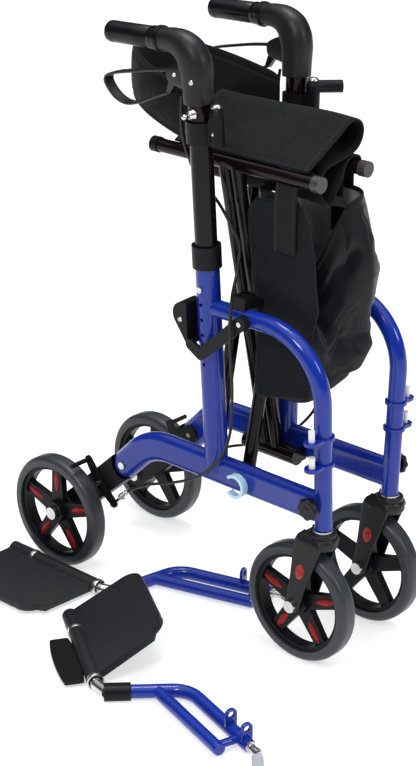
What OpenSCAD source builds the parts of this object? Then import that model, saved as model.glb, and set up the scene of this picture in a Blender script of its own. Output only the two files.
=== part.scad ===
// Folding rollator that turns into a transport chair, shown folded with its two footrests taken off.
// Side frames stand upright and parallel, joined by a scissor of crossed braces under a cloth seat.
// X points forward, the right side is at -Y, Z is up; lengths are in millimetres.

/* [Wheels] */
// Diameter of all four wheels
wheel_d = 200; // [180:5:220]
// Width of the tyres
tyre_w = 32; // [24:1:34]
// Height of the tyre section above the rim
tyre_h = 17; // [12:1:22]
// Diameter of the wheel hubs
hub_d = 40; // [34:1:48]
// Thickness of the spoke disc
spoke_t = 12; // [8:1:16]
// Width of a spoke at the hub
spoke_w = 30; // [20:1:34]
// Number of spokes
spokes = 5; // [4:1:7]
// Diameter of the wheel axles
axle_d = 12; // [8:1:14]
// Distance of a rear wheel outside its side frame
rear_wheel_out = 37; // [36:1:45]
// Trail of the front casters
caster_trail = 40; // [30:1:45]

/* [Side frame] */
// Half the distance between the side frames when folded
half_track = 85; // [82:1:95]
// Height of the lower rail's centre line
rail_z = 274; // [260:1:290]
// Height of the oval lower rail
rail_h = 50; // [40:1:54]
// Width of the oval lower rail
rail_w = 25; // [20:1:26]
// Diameter of the upright post
post_d = 38; // [36:1:40]
// Wall of the post
post_wall = 1.3; // [1:0.1:1.6]
// Length of the post above the lower rail
post_len = 372; // [360:2:384]
// Outward lean of the post and arch
lean = 2.6; // [1.5:0.1:3]
// Backward rake of the post
rake = 1.2; // [0:0.1:2]
// Distance from the post to the front leg
leg_x = 219; // [205:1:230]
// Distance from the post back to the rear axle
axle_back = 333; // [320:1:345]
// Diameter of the arched front leg
leg_d = 28; // [24:1:30]
// Height of the arch above the lower rail
arch_rise = 279; // [265:1:290]
// Radius of the arch
arch_r = 107; // [90:1:120]
// Distance from the lower rail down to the foot of the leg
leg_drop = 34; // [28:1:38]
// Straight stretch of the lower rail behind the post
rail_back = 105; // [95:1:115]
// Radius of the bend at the back of the lower rail
rail_bend_r = 100; // [85:1:110]
// Angle of that bend
rail_bend = 45; // [40:1:50]
// Straight stretch after the bend
rail_tail = 40; // [35:1:48]
// Height of the lower footrest ear above the lower rail
ear_low = 76; // [70:1:82]
// Distance between the two footrest ears
ear_gap = 44; // [40:1:48]
// Distance of a footrest pin outside the leg
pin_out = 27; // [25:1:30]
// Diameter of a footrest pin
pin_d = 10; // [8:1:11]
// Height of a footrest pin above its ear
pin_h = 18; // [14:1:22]

/* [Scissor] */
// Distance of the lower pivots inside the side frames
pivot_in = 34; // [32:1:36]
// Height of the lower pivots
pivot_z = 263; // [255:1:270]
// Brace length from the lower pivot to the cross bolt
brace_low = 250; // [240:1:260]
// Brace length from the cross bolt to the seat rail
brace_up = 271; // [261:1:281]
// Diameter of the brace tubes and the seat rails
brace_d = 22; // [18:1:22]
// Distance of the outer brace tubes from the post line
brace_outer_x = 36; // [35:1:40]
// Distance of the inner brace tubes from the post line
brace_inner_x = 12; // [11.5:0.5:12.5]
// Length of the seat rails behind the post
rail_seat_back = 147; // [130:1:160]
// Length of the seat rails in front of the post
rail_seat_front = 163; // [150:1:175]
// Diameter of the lower pivot tubes
pivot_d = 22; // [18:1:24]

/* [Handles] */
// Diameter of the handle tubes
handle_d = 35; // [33:0.5:35.2]
// Height of the elbows' lower end above the back brackets' centre
elbow_h = 43; // [37:1:52]
// Height of the grips' centre line above the elbows' lower end
grip_rise = 87; // [80:1:92]
// Diameter of the grips
grip_d = 33; // [30:1:36]
// Length of the grips
grip_len = 112; // [100:1:125]
// Distance from the post line back to the grips
grip_back = 73; // [69:1:80]
// Droop of the grips towards their ends
grip_droop = 1; // [0:0.5:5]
// Height of the back brackets' centre above the lower rail
bracket_h = 558; // [550:1:565]
// Pitch of the height holes
hole_pitch = 25; // [20:1:28]
// Height of the clamping screw above the lower rail
screw_h = 311; // [300:1:320]

/* [Soft parts] */
// Thickness of the seat cloth
cloth_t = 4; // [2:0.5:5]
// Length of the seat cloth along the rails
seat_len = 266; // [250:1:270]
// Thickness of the backrest band
band_t = 11; // [8:1:14]
// Height of the backrest band
band_h = 84; // [70:1:90]
// Distance of the backrest band's crown behind the posts
band_bow = 236; // [200:1:250]
// Length of the bag along the rails
bag_len = 140; // [120:1:146]
// Depth of the bag
bag_depth = 330; // [300:1:350]
// Half width of the folded bag
bag_half = 61; // [50:1:62]
// Width of the bag's webbing loops
webbing_w = 34; // [25:1:40]

/* [Footrests] */
// Length of a footplate along its hinge
plate_len = 205; // [180:1:220]
// Reach of a footplate out from its hinge
plate_reach = 150; // [120:1:160]
// Thickness of a footplate
plate_t = 12; // [8:1:14]
// Diameter of the hanger tubes
hanger_d = 22; // [20:1:24]
// Radius of the hanger bend
hanger_bend_r = 45; // [40:1:55]

/* [Hidden] */
$fn = 48;
// Running clearance of pins and shafts, on the radius
run = 0.06;
// Gap between pieces that pass or lie on each other
gap = 0.4;
// Clearance of a tube sliding in another, on the radius
slide = 0.1;

wheel_r = wheel_d / 2;
rim_r = wheel_r - tyre_h;
axle_r = axle_d / 2;
post_r = post_d / 2;
post_bore_r = post_r - post_wall;
handle_r = handle_d / 2;
leg_r = leg_d / 2;
brace_r = brace_d / 2;
pivot_r = pivot_d / 2;
hanger_r = hanger_d / 2;
grip_bar_r = 11;

// Places in the folded chair, with the post line at x = 0 and the chair's middle at y = 0
rear_axle_x = -axle_back;
caster_x = leg_x - caster_trail;
leg_foot_z = rail_z - leg_drop;
pivot_y = half_track - pivot_in;
fold_angle = asin(pivot_y / brace_low);
seat_y = brace_up * sin(fold_angle);
seat_z = pivot_z + (brace_low + brace_up) * cos(fold_angle);
cross_z = pivot_z + brace_low * cos(fold_angle);
// End of the lower rail's tail, in the side frame's plane
tail_x = -rail_back - rail_bend_r * sin(rail_bend) - rail_tail * cos(rail_bend);
tail_z = -rail_bend_r * (1 - cos(rail_bend)) - rail_tail * sin(rail_bend);
// Angle at which the braces lie when the seat rails rest in their saddles on the arches
saddle_lift = 32.3;
open_seat_z = rail_z + arch_rise + saddle_lift;
open_angle = acos((open_seat_z - pivot_z) / (brace_low + brace_up));
open_in = pivot_in - (brace_up - brace_low) * sin(open_angle);
// Height of the elbows' lower end above the lower rail
elbow_z = bracket_h + elbow_h;
sleeve_wall = 4;
sleeve_half = brace_outer_x + brace_r + 2;
bracket_t = 6;
// Brake arm's pivot and shoe, in the side frame's plane
brake_pivot = [-256, -105];
brake_shoe = [-281, -69];
brake_foot = [-222, -134];
brake_plate_t = 4;
brake_pin_r = 4;
// Lock lever's pivot and paddle, in the leaning plane
lock_pivot = [80, 279];
lock_end = [-4, 206];
lock_pin_r = 4;
lock_plate_t = 6;
// Brake lever's pivot, above the lower rail and behind the post
lever_pivot = [-43, elbow_z + 37];
lever_pin_r = 4;
lever_rod_r = 4.5;
cable_r = 2.5;

// Middle of the whole, footrests included, measured from the post line
origin_x = -35.6;
origin_y = -122.9;

// Placing

module chair() translate([-origin_x, -origin_y, 0]) children();

module left_side() mirror([0, 1, 0]) children();

// The right side frame's plane, with z counted from the lower rail
module side() translate([0, -half_track, rail_z]) children();

// The same plane, leaning outwards
module leaned() side() rotate([lean, 0, 0]) children();

// The post's own line, leaning outwards and raked back
module post_line() leaned() rotate([0, -rake, 0]) children();

// A cylinder across the chair, from y0 to y1
module across(x, z, r, y0, y1) translate([x, y1, z]) rotate([90, 0, 0]) cylinder(r = r, h = y1 - y0);

// A plate across the chair, from y0 to y1, of a shape drawn in x and z
module plate(y0, y1) translate([0, y1, 0]) rotate([90, 0, 0]) linear_extrude(y1 - y0) children();

// Shapes

// Two circles joined by their outer tangents
module link_2d(p, rp, q, rq) {
    d = norm(q - p);
    turn = atan2(q[1] - p[1], q[0] - p[0]);
    a = acos((rp - rq) / d);
    translate(p) circle(rp);
    translate(q) circle(rq);
    polygon([for (k = [[p, rp, 1], [q, rq, 1], [q, rq, -1], [p, rp, -1]])
        k[0] + k[1] * [cos(turn + k[2] * a), sin(turn + k[2] * a)]]);
}

// Upright oval with half-round ends
module oval_2d(w, h) {
    square([w, h - w], center = true);
    for (s = [-1, 1]) translate([0, s * (h - w) / 2]) circle(d = w);
}

// A strip of even thickness along a path
function path_normal(p, i) =
    let (a = p[max(i - 1, 0)], b = p[min(i + 1, len(p) - 1)], d = b - a) [-d[1], d[0]] / norm(d);

module strip_2d(p, t) {
    n = len(p) - 1;
    polygon(concat(
        [for (i = [0:n]) p[i] + path_normal(p, i) * t / 2],
        [for (i = [n:-1:0]) p[i] - path_normal(p, i) * t / 2]));
}

// Points of an arc about c, from angle a to angle b
function arc(c, r, a, b, n) = [for (i = [0:n]) c + r * [cos(a + (b - a) * i / n), sin(a + (b - a) * i / n)]];

// Point of a smooth curve through four points
function smooth(a, b, c, d, t) =
    0.5 * (2 * b + (c - a) * t + (2 * a - 5 * b + 4 * c - d) * t * t + (3 * b - a - 3 * c + d) * t * t * t);

function smooth_path(p, n) = [
    for (i = [0:len(p) - 2]) for (k = [0:n - 1])
        smooth(p[max(i - 1, 0)], p[i], p[i + 1], p[min(i + 2, len(p) - 1)], k / n),
    p[len(p) - 1]];

function unit(v) = v / norm(v);

function along(p, i) = unit(p[min(i + 1, len(p) - 1)] - p[max(i - 1, 0)]);

// A closed tube swept along a path: each ring lies square to it
module swept_tube(p, r, sides) {
    rings = len(p);
    side_dirs = [for (i = [0:rings - 1]) unit(cross(along(p, i), abs(along(p, i)[1]) < 0.9 ? [0, 1, 0] : [1, 0, 0]))];
    points = [for (i = [0:rings - 1]) for (k = [0:sides - 1])
        p[i] + r * (cos(360 * k / sides) * side_dirs[i]
            + sin(360 * k / sides) * cross(along(p, i), side_dirs[i]))];
    skin = [for (i = [0:rings - 2]) for (k = [0:sides - 1]) let (m = (k + 1) % sides)
        each [[i * sides + k, (i + 1) * sides + m, i * sides + m], [i * sides + k, (i + 1) * sides + k, (i + 1) * sides + m]]];
    ends = [[for (k = [0:sides - 1]) k], [for (k = [sides - 1:-1:0]) (rings - 1) * sides + k]];
    polyhedron(points, concat(skin, ends), convexity = 6);
}

// A tube, hollow and open at both ends
module pipe(r, wall, h) difference() {
    cylinder(r = r, h = h);
    translate([0, 0, -1]) cylinder(r = r - wall, h = h + 2);
}

// A quarter bend of round bar about the origin, from +X round to +Z, in the x-z plane
module bend(r, bar_r, angle) rotate([90, 0, 0]) rotate_extrude(angle = angle) translate([r, 0]) circle(bar_r);

// Side frame

// Lower rail: straight, then bent down at the back, with a rounded end
// The tail is a touch thinner and reaches a little way into the bend
tail_step = 0.6;
tail_lap = 5;
module lower_rail() {
    translate([-rail_back, 0, 0]) rotate([90, 0, 90]) linear_extrude(rail_back + leg_x) oval_2d(rail_w, rail_h);
    translate([-rail_back, 0, -rail_bend_r]) rotate([90, 0, 0]) rotate([0, 0, 90]) rotate_extrude(angle = rail_bend)
        translate([rail_bend_r, 0]) rotate(90) oval_2d(rail_w, rail_h);
    translate([tail_x, 0, tail_z]) rotate([0, -rail_bend, 0]) rotate([90, 0, 90])
        linear_extrude(rail_tail + tail_lap) oval_2d(rail_w - tail_step, rail_h - tail_step);
    // The end, turned from half the oval
    translate([tail_x, 0, tail_z]) rotate([90, 0, 0]) rotate([0, 0, 90 + rail_bend]) rotate_extrude(angle = 180)
        intersection() {
            rotate(90) oval_2d(rail_w - tail_step, rail_h - tail_step);
            translate([0, -rail_h]) square(2 * rail_h);
        }
}

// Arched front leg, from the post over to the foot
module arch_leg() {
    translate([0, 0, arch_rise]) rotate([0, 90, 0]) cylinder(r = leg_r, h = leg_x - arch_r);
    translate([leg_x - arch_r, 0, arch_rise - arch_r]) bend(arch_r, leg_r, 90);
    translate([leg_x, 0, -leg_drop]) cylinder(r = leg_r, h = arch_rise - arch_r + leg_drop);
}

// Flat ear on the front leg that carries a footrest pin
ear_t = 5;
ear_r = 12;
// Step between a footrest pin and its foot in the ear
pin_step = 0.2;
module footrest_ear(z) translate([leg_x, 0, z]) {
    cylinder(r = leg_r + 4, h = ear_t);
    translate([0, -pin_out, 0]) cylinder(r = ear_r, h = ear_t);
    translate([-ear_r, -pin_out, 0]) cube([2 * ear_r, pin_out, ear_t]);
}

stem_r = 8;
hole_r = 3;
holes = 5;
module side_frame() color("royalblue") difference() {
    union() {
        side() lower_rail();
        leaned() arch_leg();
        leaned() for (k = [0, 1]) footrest_ear(ear_low + k * ear_gap);
        post_line() cylinder(r = post_r, h = post_len);
    }
    post_line() translate([0, 0, rail_h / 2 + 5]) cylinder(r = post_bore_r, h = post_len);
    post_line() for (k = [0:holes]) translate([0, 0, screw_h - k * hole_pitch]) rotate([90, 0, 0])
        cylinder(r = hole_r, h = post_d);
    // Socket of the caster stem
    translate([leg_x, -half_track, leg_foot_z - 1]) cylinder(r = stem_r + run, h = 36);
    // Foot of the leg, cut level
    translate([leg_x - 2 * leg_r, -half_track - 2 * leg_r, leg_foot_z - 2 * leg_r])
        cube([4 * leg_r, 4 * leg_r, 2 * leg_r]);
    // Rivet at the back end and brake pin beside it
    side() across(tail_x, tail_z, rivet_r + run, -rail_w, rail_w);
    // Pins of the footrest ears
    leaned() for (k = [0, 1]) translate([leg_x, -pin_out, ear_low + k * ear_gap - 1])
        cylinder(r = pin_d / 2 - pin_step + run, h = ear_t + 2);
    // Pin of the lock lever
    leaned() across(lock_pivot[0], lock_pivot[1], lock_pin_r + run, -leg_d, leg_d);
}

// Plastic bush that guides the handle tube at the top of the post
collar_h = 36;
collar_lip = 8;
collar_r = 23;
module post_collar() color("black") post_line() translate([0, 0, post_len - collar_h + collar_lip]) difference() {
    cylinder(r = collar_r, h = collar_h);
    translate([0, 0, -1]) cylinder(r = post_r + run, h = collar_h - collar_lip + 1);
    cylinder(r = handle_r + slide, h = collar_h + 1);
}

// Cradle on the arch that the open seat rail drops into
saddle_x = 49;
saddle_len = 26;
saddle_wall = 4;
// How far the cradle reaches past the rail it holds
saddle_reach = 5;
module seat_saddle() color("black") {
    cup_z = arch_rise + saddle_lift;
    lip_y = open_in - 15 - saddle_wall;
    back_y = min(-leg_r - 8, lip_y);
    side() difference() {
        union() {
            translate([saddle_x, back_y, cup_z - 20]) cube([saddle_len, open_in + saddle_reach - back_y, 20]);
            translate([saddle_x, lip_y, cup_z - 20]) cube([saddle_len, saddle_wall, 24]);
        }
        translate([saddle_x - 1, open_in, cup_z]) rotate([0, 90, 0])
            cylinder(r = brace_r + gap, h = saddle_len + 2);
        rotate([lean, 0, 0]) translate([0, 0, arch_rise]) rotate([0, 90, 0])
            cylinder(r = leg_r + run, h = leg_x - arch_r);
    }
}

// Plastic arm from the rail's end down to the rear axle
rivet_r = 4;
carrier_r = 24;
cheek_t = 7;
module axle_carrier() color("black") side() {
    axle = [rear_axle_x, wheel_r - rail_z];
    tail = [tail_x, tail_z];
    difference() {
        union() {
            plate(-rail_w / 2, rail_w / 2) difference() {
                link_2d(tail, carrier_r, axle, carrier_r - 2);
                translate(tail) circle(rail_h / 2 + 0.1);
            }
            plate(rail_w / 2 + 0.1, rail_w / 2 + cheek_t) link_2d(tail, carrier_r - 6, axle, carrier_r - 2);
            plate(rail_w / 2 - 0.1, rail_w / 2 + 0.2) link_2d((tail + 2 * axle) / 3, carrier_r - 4, axle, carrier_r - 4);
        }
        across(axle[0], axle[1], axle_r + run, -rail_w, rail_w);
        across(tail[0], tail[1], rivet_r + run, -rail_w, 2 * rail_w);
        across(brake_pivot[0], brake_pivot[1], brake_pin_r + run, -rail_w, rail_w);
    }
}

// Rivets, screws, pins, rear axle bolt and front bumper of one side
bumper_r = 16;
bumper_z = 20;
module frame_fittings() {
    color("silver") {
        side() across(tail_x, tail_z, rivet_r, -rail_w / 2 - 0.5, rail_w / 2 + cheek_t);
        side() across(tail_x, tail_z, rivet_r + 2.5, -rail_w / 2 - 2.5, -rail_w / 2);
        side() across(rear_axle_x, wheel_r - rail_z, axle_r, -rear_wheel_out - tyre_w / 2 - 3, rail_w / 2 + cheek_t);
        side() across(rear_axle_x, wheel_r - rail_z, axle_r + 5, -rear_wheel_out - tyre_w / 2 - 7, -rear_wheel_out - tyre_w / 2 - 1);
        side() across(rear_axle_x, wheel_r - rail_z, axle_r + 4, rail_w / 2 + cheek_t, rail_w / 2 + cheek_t + 7);
        side() across(brake_pivot[0], brake_pivot[1], brake_pin_r, -rail_w / 2 - brake_plate_t - 4, rail_w / 2);
        leaned() across(lock_pivot[0], lock_pivot[1], lock_pin_r, -post_r - lock_plate_t - 5, leg_r + 1);
        post_line() translate([0, -post_bore_r, screw_h]) rotate([90, 0, 0]) cylinder(r = hole_r - run, h = post_wall);
        post_line() translate([0, -post_r, screw_h]) rotate([90, 0, 0]) cylinder(r = hole_r + 2, h = 3);
    }
    color("white") leaned() for (k = [0, 1]) translate([leg_x, -pin_out, ear_low + k * ear_gap]) {
        cylinder(r = pin_d / 2 - pin_step, h = ear_t + 1);
        translate([0, 0, ear_t]) cylinder(d = pin_d, h = pin_h);
    }
    color("black") side() translate([leg_x - 8, -leg_r - gap, bumper_z - 12]) rotate([90, 0, 0]) {
        cylinder(r = 7, h = 8);
        translate([0, 0, 8]) cylinder(r = bumper_r, h = 8);
    }
}

// Lower pivot tube inside the side frame, on two welded brackets
module pivot_tube() color("dimgray") translate([0, -pivot_y, pivot_z]) {
    half = sleeve_half + gap + bracket_t;
    translate([-half, 0, 0]) rotate([0, 90, 0]) cylinder(r = pivot_r, h = 2 * half);
    for (s = [-1, 1]) translate([s * (half - bracket_t / 2), 0, 0]) difference() {
        union() {
            rotate([0, 90, 0]) cylinder(r = pivot_r + 4, h = bracket_t, center = true);
            translate([-bracket_t / 2, -pivot_in, -pivot_r]) cube([bracket_t, pivot_in, 2 * pivot_r]);
        }
        translate([-bracket_t, -pivot_in - rail_w / 2, -rail_h]) cube([2 * bracket_t, rail_w, 2 * rail_h]);
    }
}

// Lever that locks the fold: a flat arm outside the post with a paddle behind it
module lock_lever() color("black") leaned() {
    out = leg_r + 1;
    paddle = lock_end + [-32, 58];
    outer = post_r + 3;
    difference() {
        union() {
            plate(-outer - lock_plate_t, -outer) link_2d(lock_pivot, 11, lock_end, 9);
            plate(-outer - lock_plate_t, -out) translate(lock_pivot) circle(11);
            plate(-outer - lock_plate_t, 6) difference() {
                link_2d(lock_end + [-13, 6], 9, paddle, 22);
                translate([-post_r - 10, 0]) square([4 * post_r, 2 * arch_rise]);
            }
            plate(-outer - lock_plate_t, -outer) link_2d(lock_end, 9, lock_end + [-20, 12], 9);
        }
        across(lock_pivot[0], lock_pivot[1], lock_pin_r + run, -2 * outer, 2 * outer);
    }
}

// Light plastic hook on the outer face of the right lower rail, open towards the back
clip_at = [56, -8];
clip_r = 20;
clip_t = 5;
clip_w = 12;
clip_mouth = 44;
module rail_clip() color("lightblue") side() plate(-rail_w / 2 - clip_w, -rail_w / 2) translate(clip_at)
    difference() {
        circle(clip_r);
        circle(clip_r - clip_t);
        polygon([[0, 0], for (a = [180 - clip_mouth, 180 + clip_mouth]) 2 * clip_r * [cos(a), sin(a)]]);
    }

// Handles

module handle_tube() color("black") post_line() translate([0, 0, screw_h - 6 * hole_pitch])
    difference() {
        pipe(handle_r, 2, elbow_z - screw_h + 6 * hole_pitch + elbow_seat);
        for (k = [0:5]) translate([0, 0, (k + 1) * hole_pitch]) rotate([90, 0, 0]) cylinder(r = hole_r, h = handle_d);
    }

// Point of the grip's axis, measured back from the post line
elbow_seat = 24;
grip_z = elbow_z + grip_rise;
module grip_axis() post_line() translate([-grip_back + 10, 0, grip_z]) rotate([0, -90 - grip_droop, 0]) children();

// Moulded elbow that turns the upright tube into the grip and houses the brake lever
elbow_r = 22.5;
elbow_bend = 58;
lever_slot_w = 14;
lever_slot_h = 78;
lever_pin_half = 19;
module elbow() {
    color("black") elbow_body();
    color("silver") post_line() across(lever_pivot[0], lever_pivot[1], lever_pin_r, -lever_pin_half, lever_pin_half);
}

module elbow_body() difference() {
    union() {
        post_line() {
            hull() {
                translate([0, 0, elbow_z]) cylinder(r = elbow_r, h = 12, $fn = 32);
                translate([-16, 0, elbow_z + elbow_bend]) sphere(r = elbow_r + 1, $fn = 32);
            }
            hull() {
                translate([-16, 0, elbow_z + elbow_bend]) sphere(r = elbow_r + 1, $fn = 32);
                translate([-grip_back + 12, 0, grip_z]) rotate([0, -90 - grip_droop, 0]) cylinder(r = 18, h = 4, $fn = 32);
                translate([lever_pivot[0], 10, lever_pivot[1] - 4]) rotate([90, 0, 0]) cylinder(r = 16, h = 20, $fn = 32);
            }
        }
        grip_axis() cylinder(r = grip_bar_r, h = grip_len);
    }
    post_line() translate([0, 0, elbow_z - 1]) cylinder(r = handle_r + run, h = elbow_seat + 1 + gap);
    // Slot that the brake lever turns in
    post_line() translate([-120, -lever_slot_w / 2, elbow_z - 20]) cube([120 - 23, lever_slot_w, lever_slot_h]);
}

// Rubber grip with a flange at its inner end
flange_r = 20;
flange_t = 9;
module grip() color("dimgray") grip_axis() translate([0, 0, 4]) rotate_extrude() polygon([
    [grip_bar_r + 0.05, 0], [flange_r, 0], [flange_r, flange_t], [grip_d / 2 + 1.5, flange_t],
    [grip_d / 2 + 1.5, flange_t + 16], [grip_d / 2, flange_t + 18], [grip_d / 2, grip_len - 4],
    [grip_d / 2 - 4, grip_len], [0, grip_len], [0, grip_len - 3.95], [grip_bar_r + 0.05, grip_len - 3.95]]);

// Clamp on the handle tube with a barrel in front and the stub of the backrest's end bar
bracket_half = 17;
barrel_x = 33;
barrel_r = 11;
stub_r = 10;
stub_len = 46;
module back_bracket() color("black") post_line() translate([0, 0, bracket_h - bracket_half]) difference() {
    union() {
        cylinder(r = handle_r + 5, h = 2 * bracket_half);
        translate([barrel_x, 0, 0]) cylinder(r = barrel_r, h = 2 * bracket_half + 14);
        translate([0, -barrel_r + 2, 0]) cube([barrel_x, 2 * barrel_r - 4, 2 * bracket_half]);
        translate([barrel_x, 0, 2 * bracket_half + 14]) rotate([0, 90, -50]) cylinder(r = stub_r, h = stub_len);
        translate([barrel_x, 0, 2 * bracket_half + 14]) sphere(r = barrel_r);
    }
    translate([0, 0, -1]) cylinder(r = handle_r + run, h = 2 * bracket_half + 2);
}

// Loop brake lever of bent rod under the grip
lever_top_end = [-182, elbow_z + 17];
lever_low_end = [-142, elbow_z - 21];
module brake_lever() color("black") post_line() {
    difference() {
        plate(-lever_slot_w / 2 + 1, lever_slot_w / 2 - 1) {
            link_2d(lever_pivot, 9, lever_pivot + [-16, 4], 7);
            link_2d(lever_pivot, 9, lever_pivot + [-16, -30], 7);
        }
        across(lever_pivot[0], lever_pivot[1], lever_pin_r + run, -lever_slot_w, lever_slot_w);
    }
    points = [lever_pivot + [-16, 4], [-126, elbow_z + 26], lever_top_end, [-189, elbow_z + 9],
        [-176, elbow_z - 11],
        lever_low_end, lever_pivot + [-16, -30]];
    path = smooth_path([for (p = points) [p[0], 0, p[1]]], 4);
    swept_tube(path, lever_rod_r, 10);
}

// Rear brake

shoe_len = 40;
shoe_r = 4;
module brake_arm() color("dimgray") side() {
    outer = -rail_w / 2 - gap;
    difference() {
        union() {
            plate(outer - brake_plate_t, outer) {
                link_2d(brake_pivot, 10, brake_shoe, 7);
                link_2d(brake_pivot, 10, brake_foot, 7);
            }
            across(brake_shoe[0], brake_shoe[1], shoe_r, outer - shoe_len - brake_plate_t, outer);
            across(brake_foot[0], brake_foot[1], 5, outer - brake_plate_t - 3, outer);
        }
        across(brake_pivot[0], brake_pivot[1], brake_pin_r + run, -rail_h, rail_h);
    }
}

// Brake cable from the elbow down outside the arch, over the lower rail and back to the brake
cable_points = [
    [-47.3, 0, 605.5], [-49, 0, 590], [-50, 0, 555], [-46, 6, 515], [-36, 20, 475], [-14, 33, 440], [8, 34, 412],
    [38, 24, 383], [58, -4, 355], [64, -24, 320], [66, -32, 279], [66, -34, 240], [64, -30, 160], [54, -26, 90],
    [32, -24, 40], [-4, -23, 0], [-40, -21, -26], [-90, -20, -50], [-140, -20, -70], [-184, -21, -96],
    [-217, -22.2, -127.6]];
module brake_cable() color("black") leaned() swept_tube(smooth_path(cable_points, 3), cable_r, 8);

// Casters and wheels

blade_t = 7;
blade_top_r = 19;
blade_end_r = 14;
fork_gap = tyre_w / 2 + 3;
crown_h = 26;
fork_drop = 4;
module caster_fork() color("black") translate([0, -half_track, 0]) difference() {
    union() {
        translate([leg_x, 0, leg_foot_z - fork_drop - crown_h]) cylinder(r = 22, h = crown_h);
        translate([caster_x + 8, -fork_gap - blade_t, wheel_r + fork_bridge_z])
            cube([leg_x - caster_x - 8, 2 * (fork_gap + blade_t), crown_h - 8]);
        for (s = [-1, 1]) plate(s > 0 ? fork_gap : -fork_gap - blade_t, s > 0 ? fork_gap + blade_t : -fork_gap)
            link_2d([leg_x - 16, fork_bridge_z + wheel_r + 8], blade_top_r, [caster_x, wheel_r], blade_end_r);
    }
    across(caster_x, wheel_r, axle_r + run, -2 * fork_gap, 2 * fork_gap);
    translate([leg_x, 0, leg_foot_z - fork_drop - crown_h - 1]) cylinder(r = stem_r + run, h = crown_h + 2);
}
fork_bridge_z = leg_foot_z - fork_drop - crown_h - wheel_r;

// Caster stem with its washer, and the wheel's axle bolt
module caster_bolts() color("silver") translate([0, -half_track, 0]) {
    translate([leg_x, 0, leg_foot_z - fork_drop - crown_h]) cylinder(r = stem_r, h = crown_h + fork_drop + 34);
    translate([leg_x, 0, leg_foot_z - fork_drop]) cylinder(r = leg_r + 2, h = fork_drop - gap);
    across(caster_x, wheel_r, axle_r, -fork_gap - blade_t - 2, fork_gap + blade_t + 2);
    for (s = [-1, 1]) across(caster_x, wheel_r, axle_r + 4,
        s > 0 ? fork_gap + blade_t : -fork_gap - blade_t - 6, s > 0 ? fork_gap + blade_t + 6 : -fork_gap - blade_t);
}

// Spoked plastic rim, centred on its axle with its outer face towards -Y
rim_lip = 7;
module rim() {
    rotate([90, 0, 0]) {
        difference() {
            union() {
                cylinder(d = hub_d, h = tyre_w, center = true);
                translate([0, 0, -spoke_t / 2]) linear_extrude(spoke_t)
                    for (k = [0:spokes - 1]) rotate(90 + k * 360 / spokes) polygon([
                        [0, -spoke_w / 2], [rim_r - rim_lip + 1, -spoke_w * 0.36],
                        [rim_r - rim_lip + 1, spoke_w * 0.36], [0, spoke_w / 2]]);
                rotate_extrude() polygon([
                    [rim_r - rim_lip, -tyre_w / 2 + 6], [rim_r, -tyre_w / 2 + 5], [rim_r, tyre_w / 2 - 5],
                    [rim_r - rim_lip, tyre_w / 2 - 6]]);
            }
            cylinder(r = axle_r + run, h = 2 * tyre_w, center = true);
        }
    }
}

// Tyre with a rounded tread
tread_r = 9;
module tyre() rotate([90, 0, 0]) rotate_extrude() difference() {
    union() {
        translate([rim_r + 0.1, -tyre_w / 2]) square([tyre_h - 0.1 - tread_r, tyre_w]);
        translate([rim_r + 0.1, -tyre_w / 2 + tread_r]) square([tyre_h - 0.1, tyre_w - 2 * tread_r]);
        for (s = [-1, 1]) translate([wheel_r - tread_r, s * (tyre_w / 2 - tread_r)]) circle(tread_r);
    }
    translate([0, -tyre_w]) square([rim_r + 0.1, 2 * tyre_w]);
}

module at_front_wheel() translate([caster_x, -half_track, wheel_r]) children();
module at_rear_wheel() translate([rear_axle_x, -half_track - rear_wheel_out, wheel_r]) children();

// Scissor braces, each welded to its seat rail

module brace(xs, side_y) {
    // Lower pivot on the side given by side_y, seat rail on the other side
    difference() {
        union() {
            translate([-sleeve_half, side_y * pivot_y, pivot_z]) rotate([0, 90, 0])
                cylinder(r = pivot_r + sleeve_wall, h = 2 * sleeve_half);
            for (x = xs) translate([x, side_y * pivot_y, pivot_z]) rotate([side_y * fold_angle, 0, 0])
                cylinder(r = brace_r, h = brace_low + brace_up);
            translate([-rail_seat_back, -side_y * seat_y, seat_z]) rotate([0, 90, 0])
                cylinder(r = brace_r, h = rail_seat_back + rail_seat_front);
        }
        translate([-sleeve_half - 1, side_y * pivot_y, pivot_z]) rotate([0, 90, 0])
            cylinder(r = pivot_r + run, h = 2 * sleeve_half + 2);
        translate([-sleeve_half - 1, 0, cross_z]) rotate([0, 90, 0]) cylinder(r = bolt_r + run, h = 2 * sleeve_half + 2);
    }
}
bolt_r = 5;

module brace_outer() color("black") brace([-brace_outer_x, brace_outer_x], -1);
module brace_inner() color("black") brace([-brace_inner_x, brace_inner_x], 1);

// Bolt through all four tubes where the braces cross
module cross_bolt() color("silver") translate([0, 0, cross_z]) rotate([0, 90, 0]) {
    cylinder(r = bolt_r, h = 2 * sleeve_half + 4, center = true);
    for (s = [-1, 1]) translate([0, 0, s * (sleeve_half + 4)]) cylinder(r = bolt_r + 4, h = 6, center = true);
}

// End caps of a seat rail
cap_t = 14;
module rail_caps(y) color("gray") for (s = [-1, 1])
    translate([s > 0 ? rail_seat_front : -rail_seat_back - cap_t, y, seat_z]) rotate([0, 90, 0])
        cylinder(r = brace_r + 1.5, h = cap_t);

// Soft parts

// Seat cloth: up from the right rail, over a roll, back under it and down in a loop to the left rail
seat_roll_r = 24;
seat_loop_r = 17;
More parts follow.
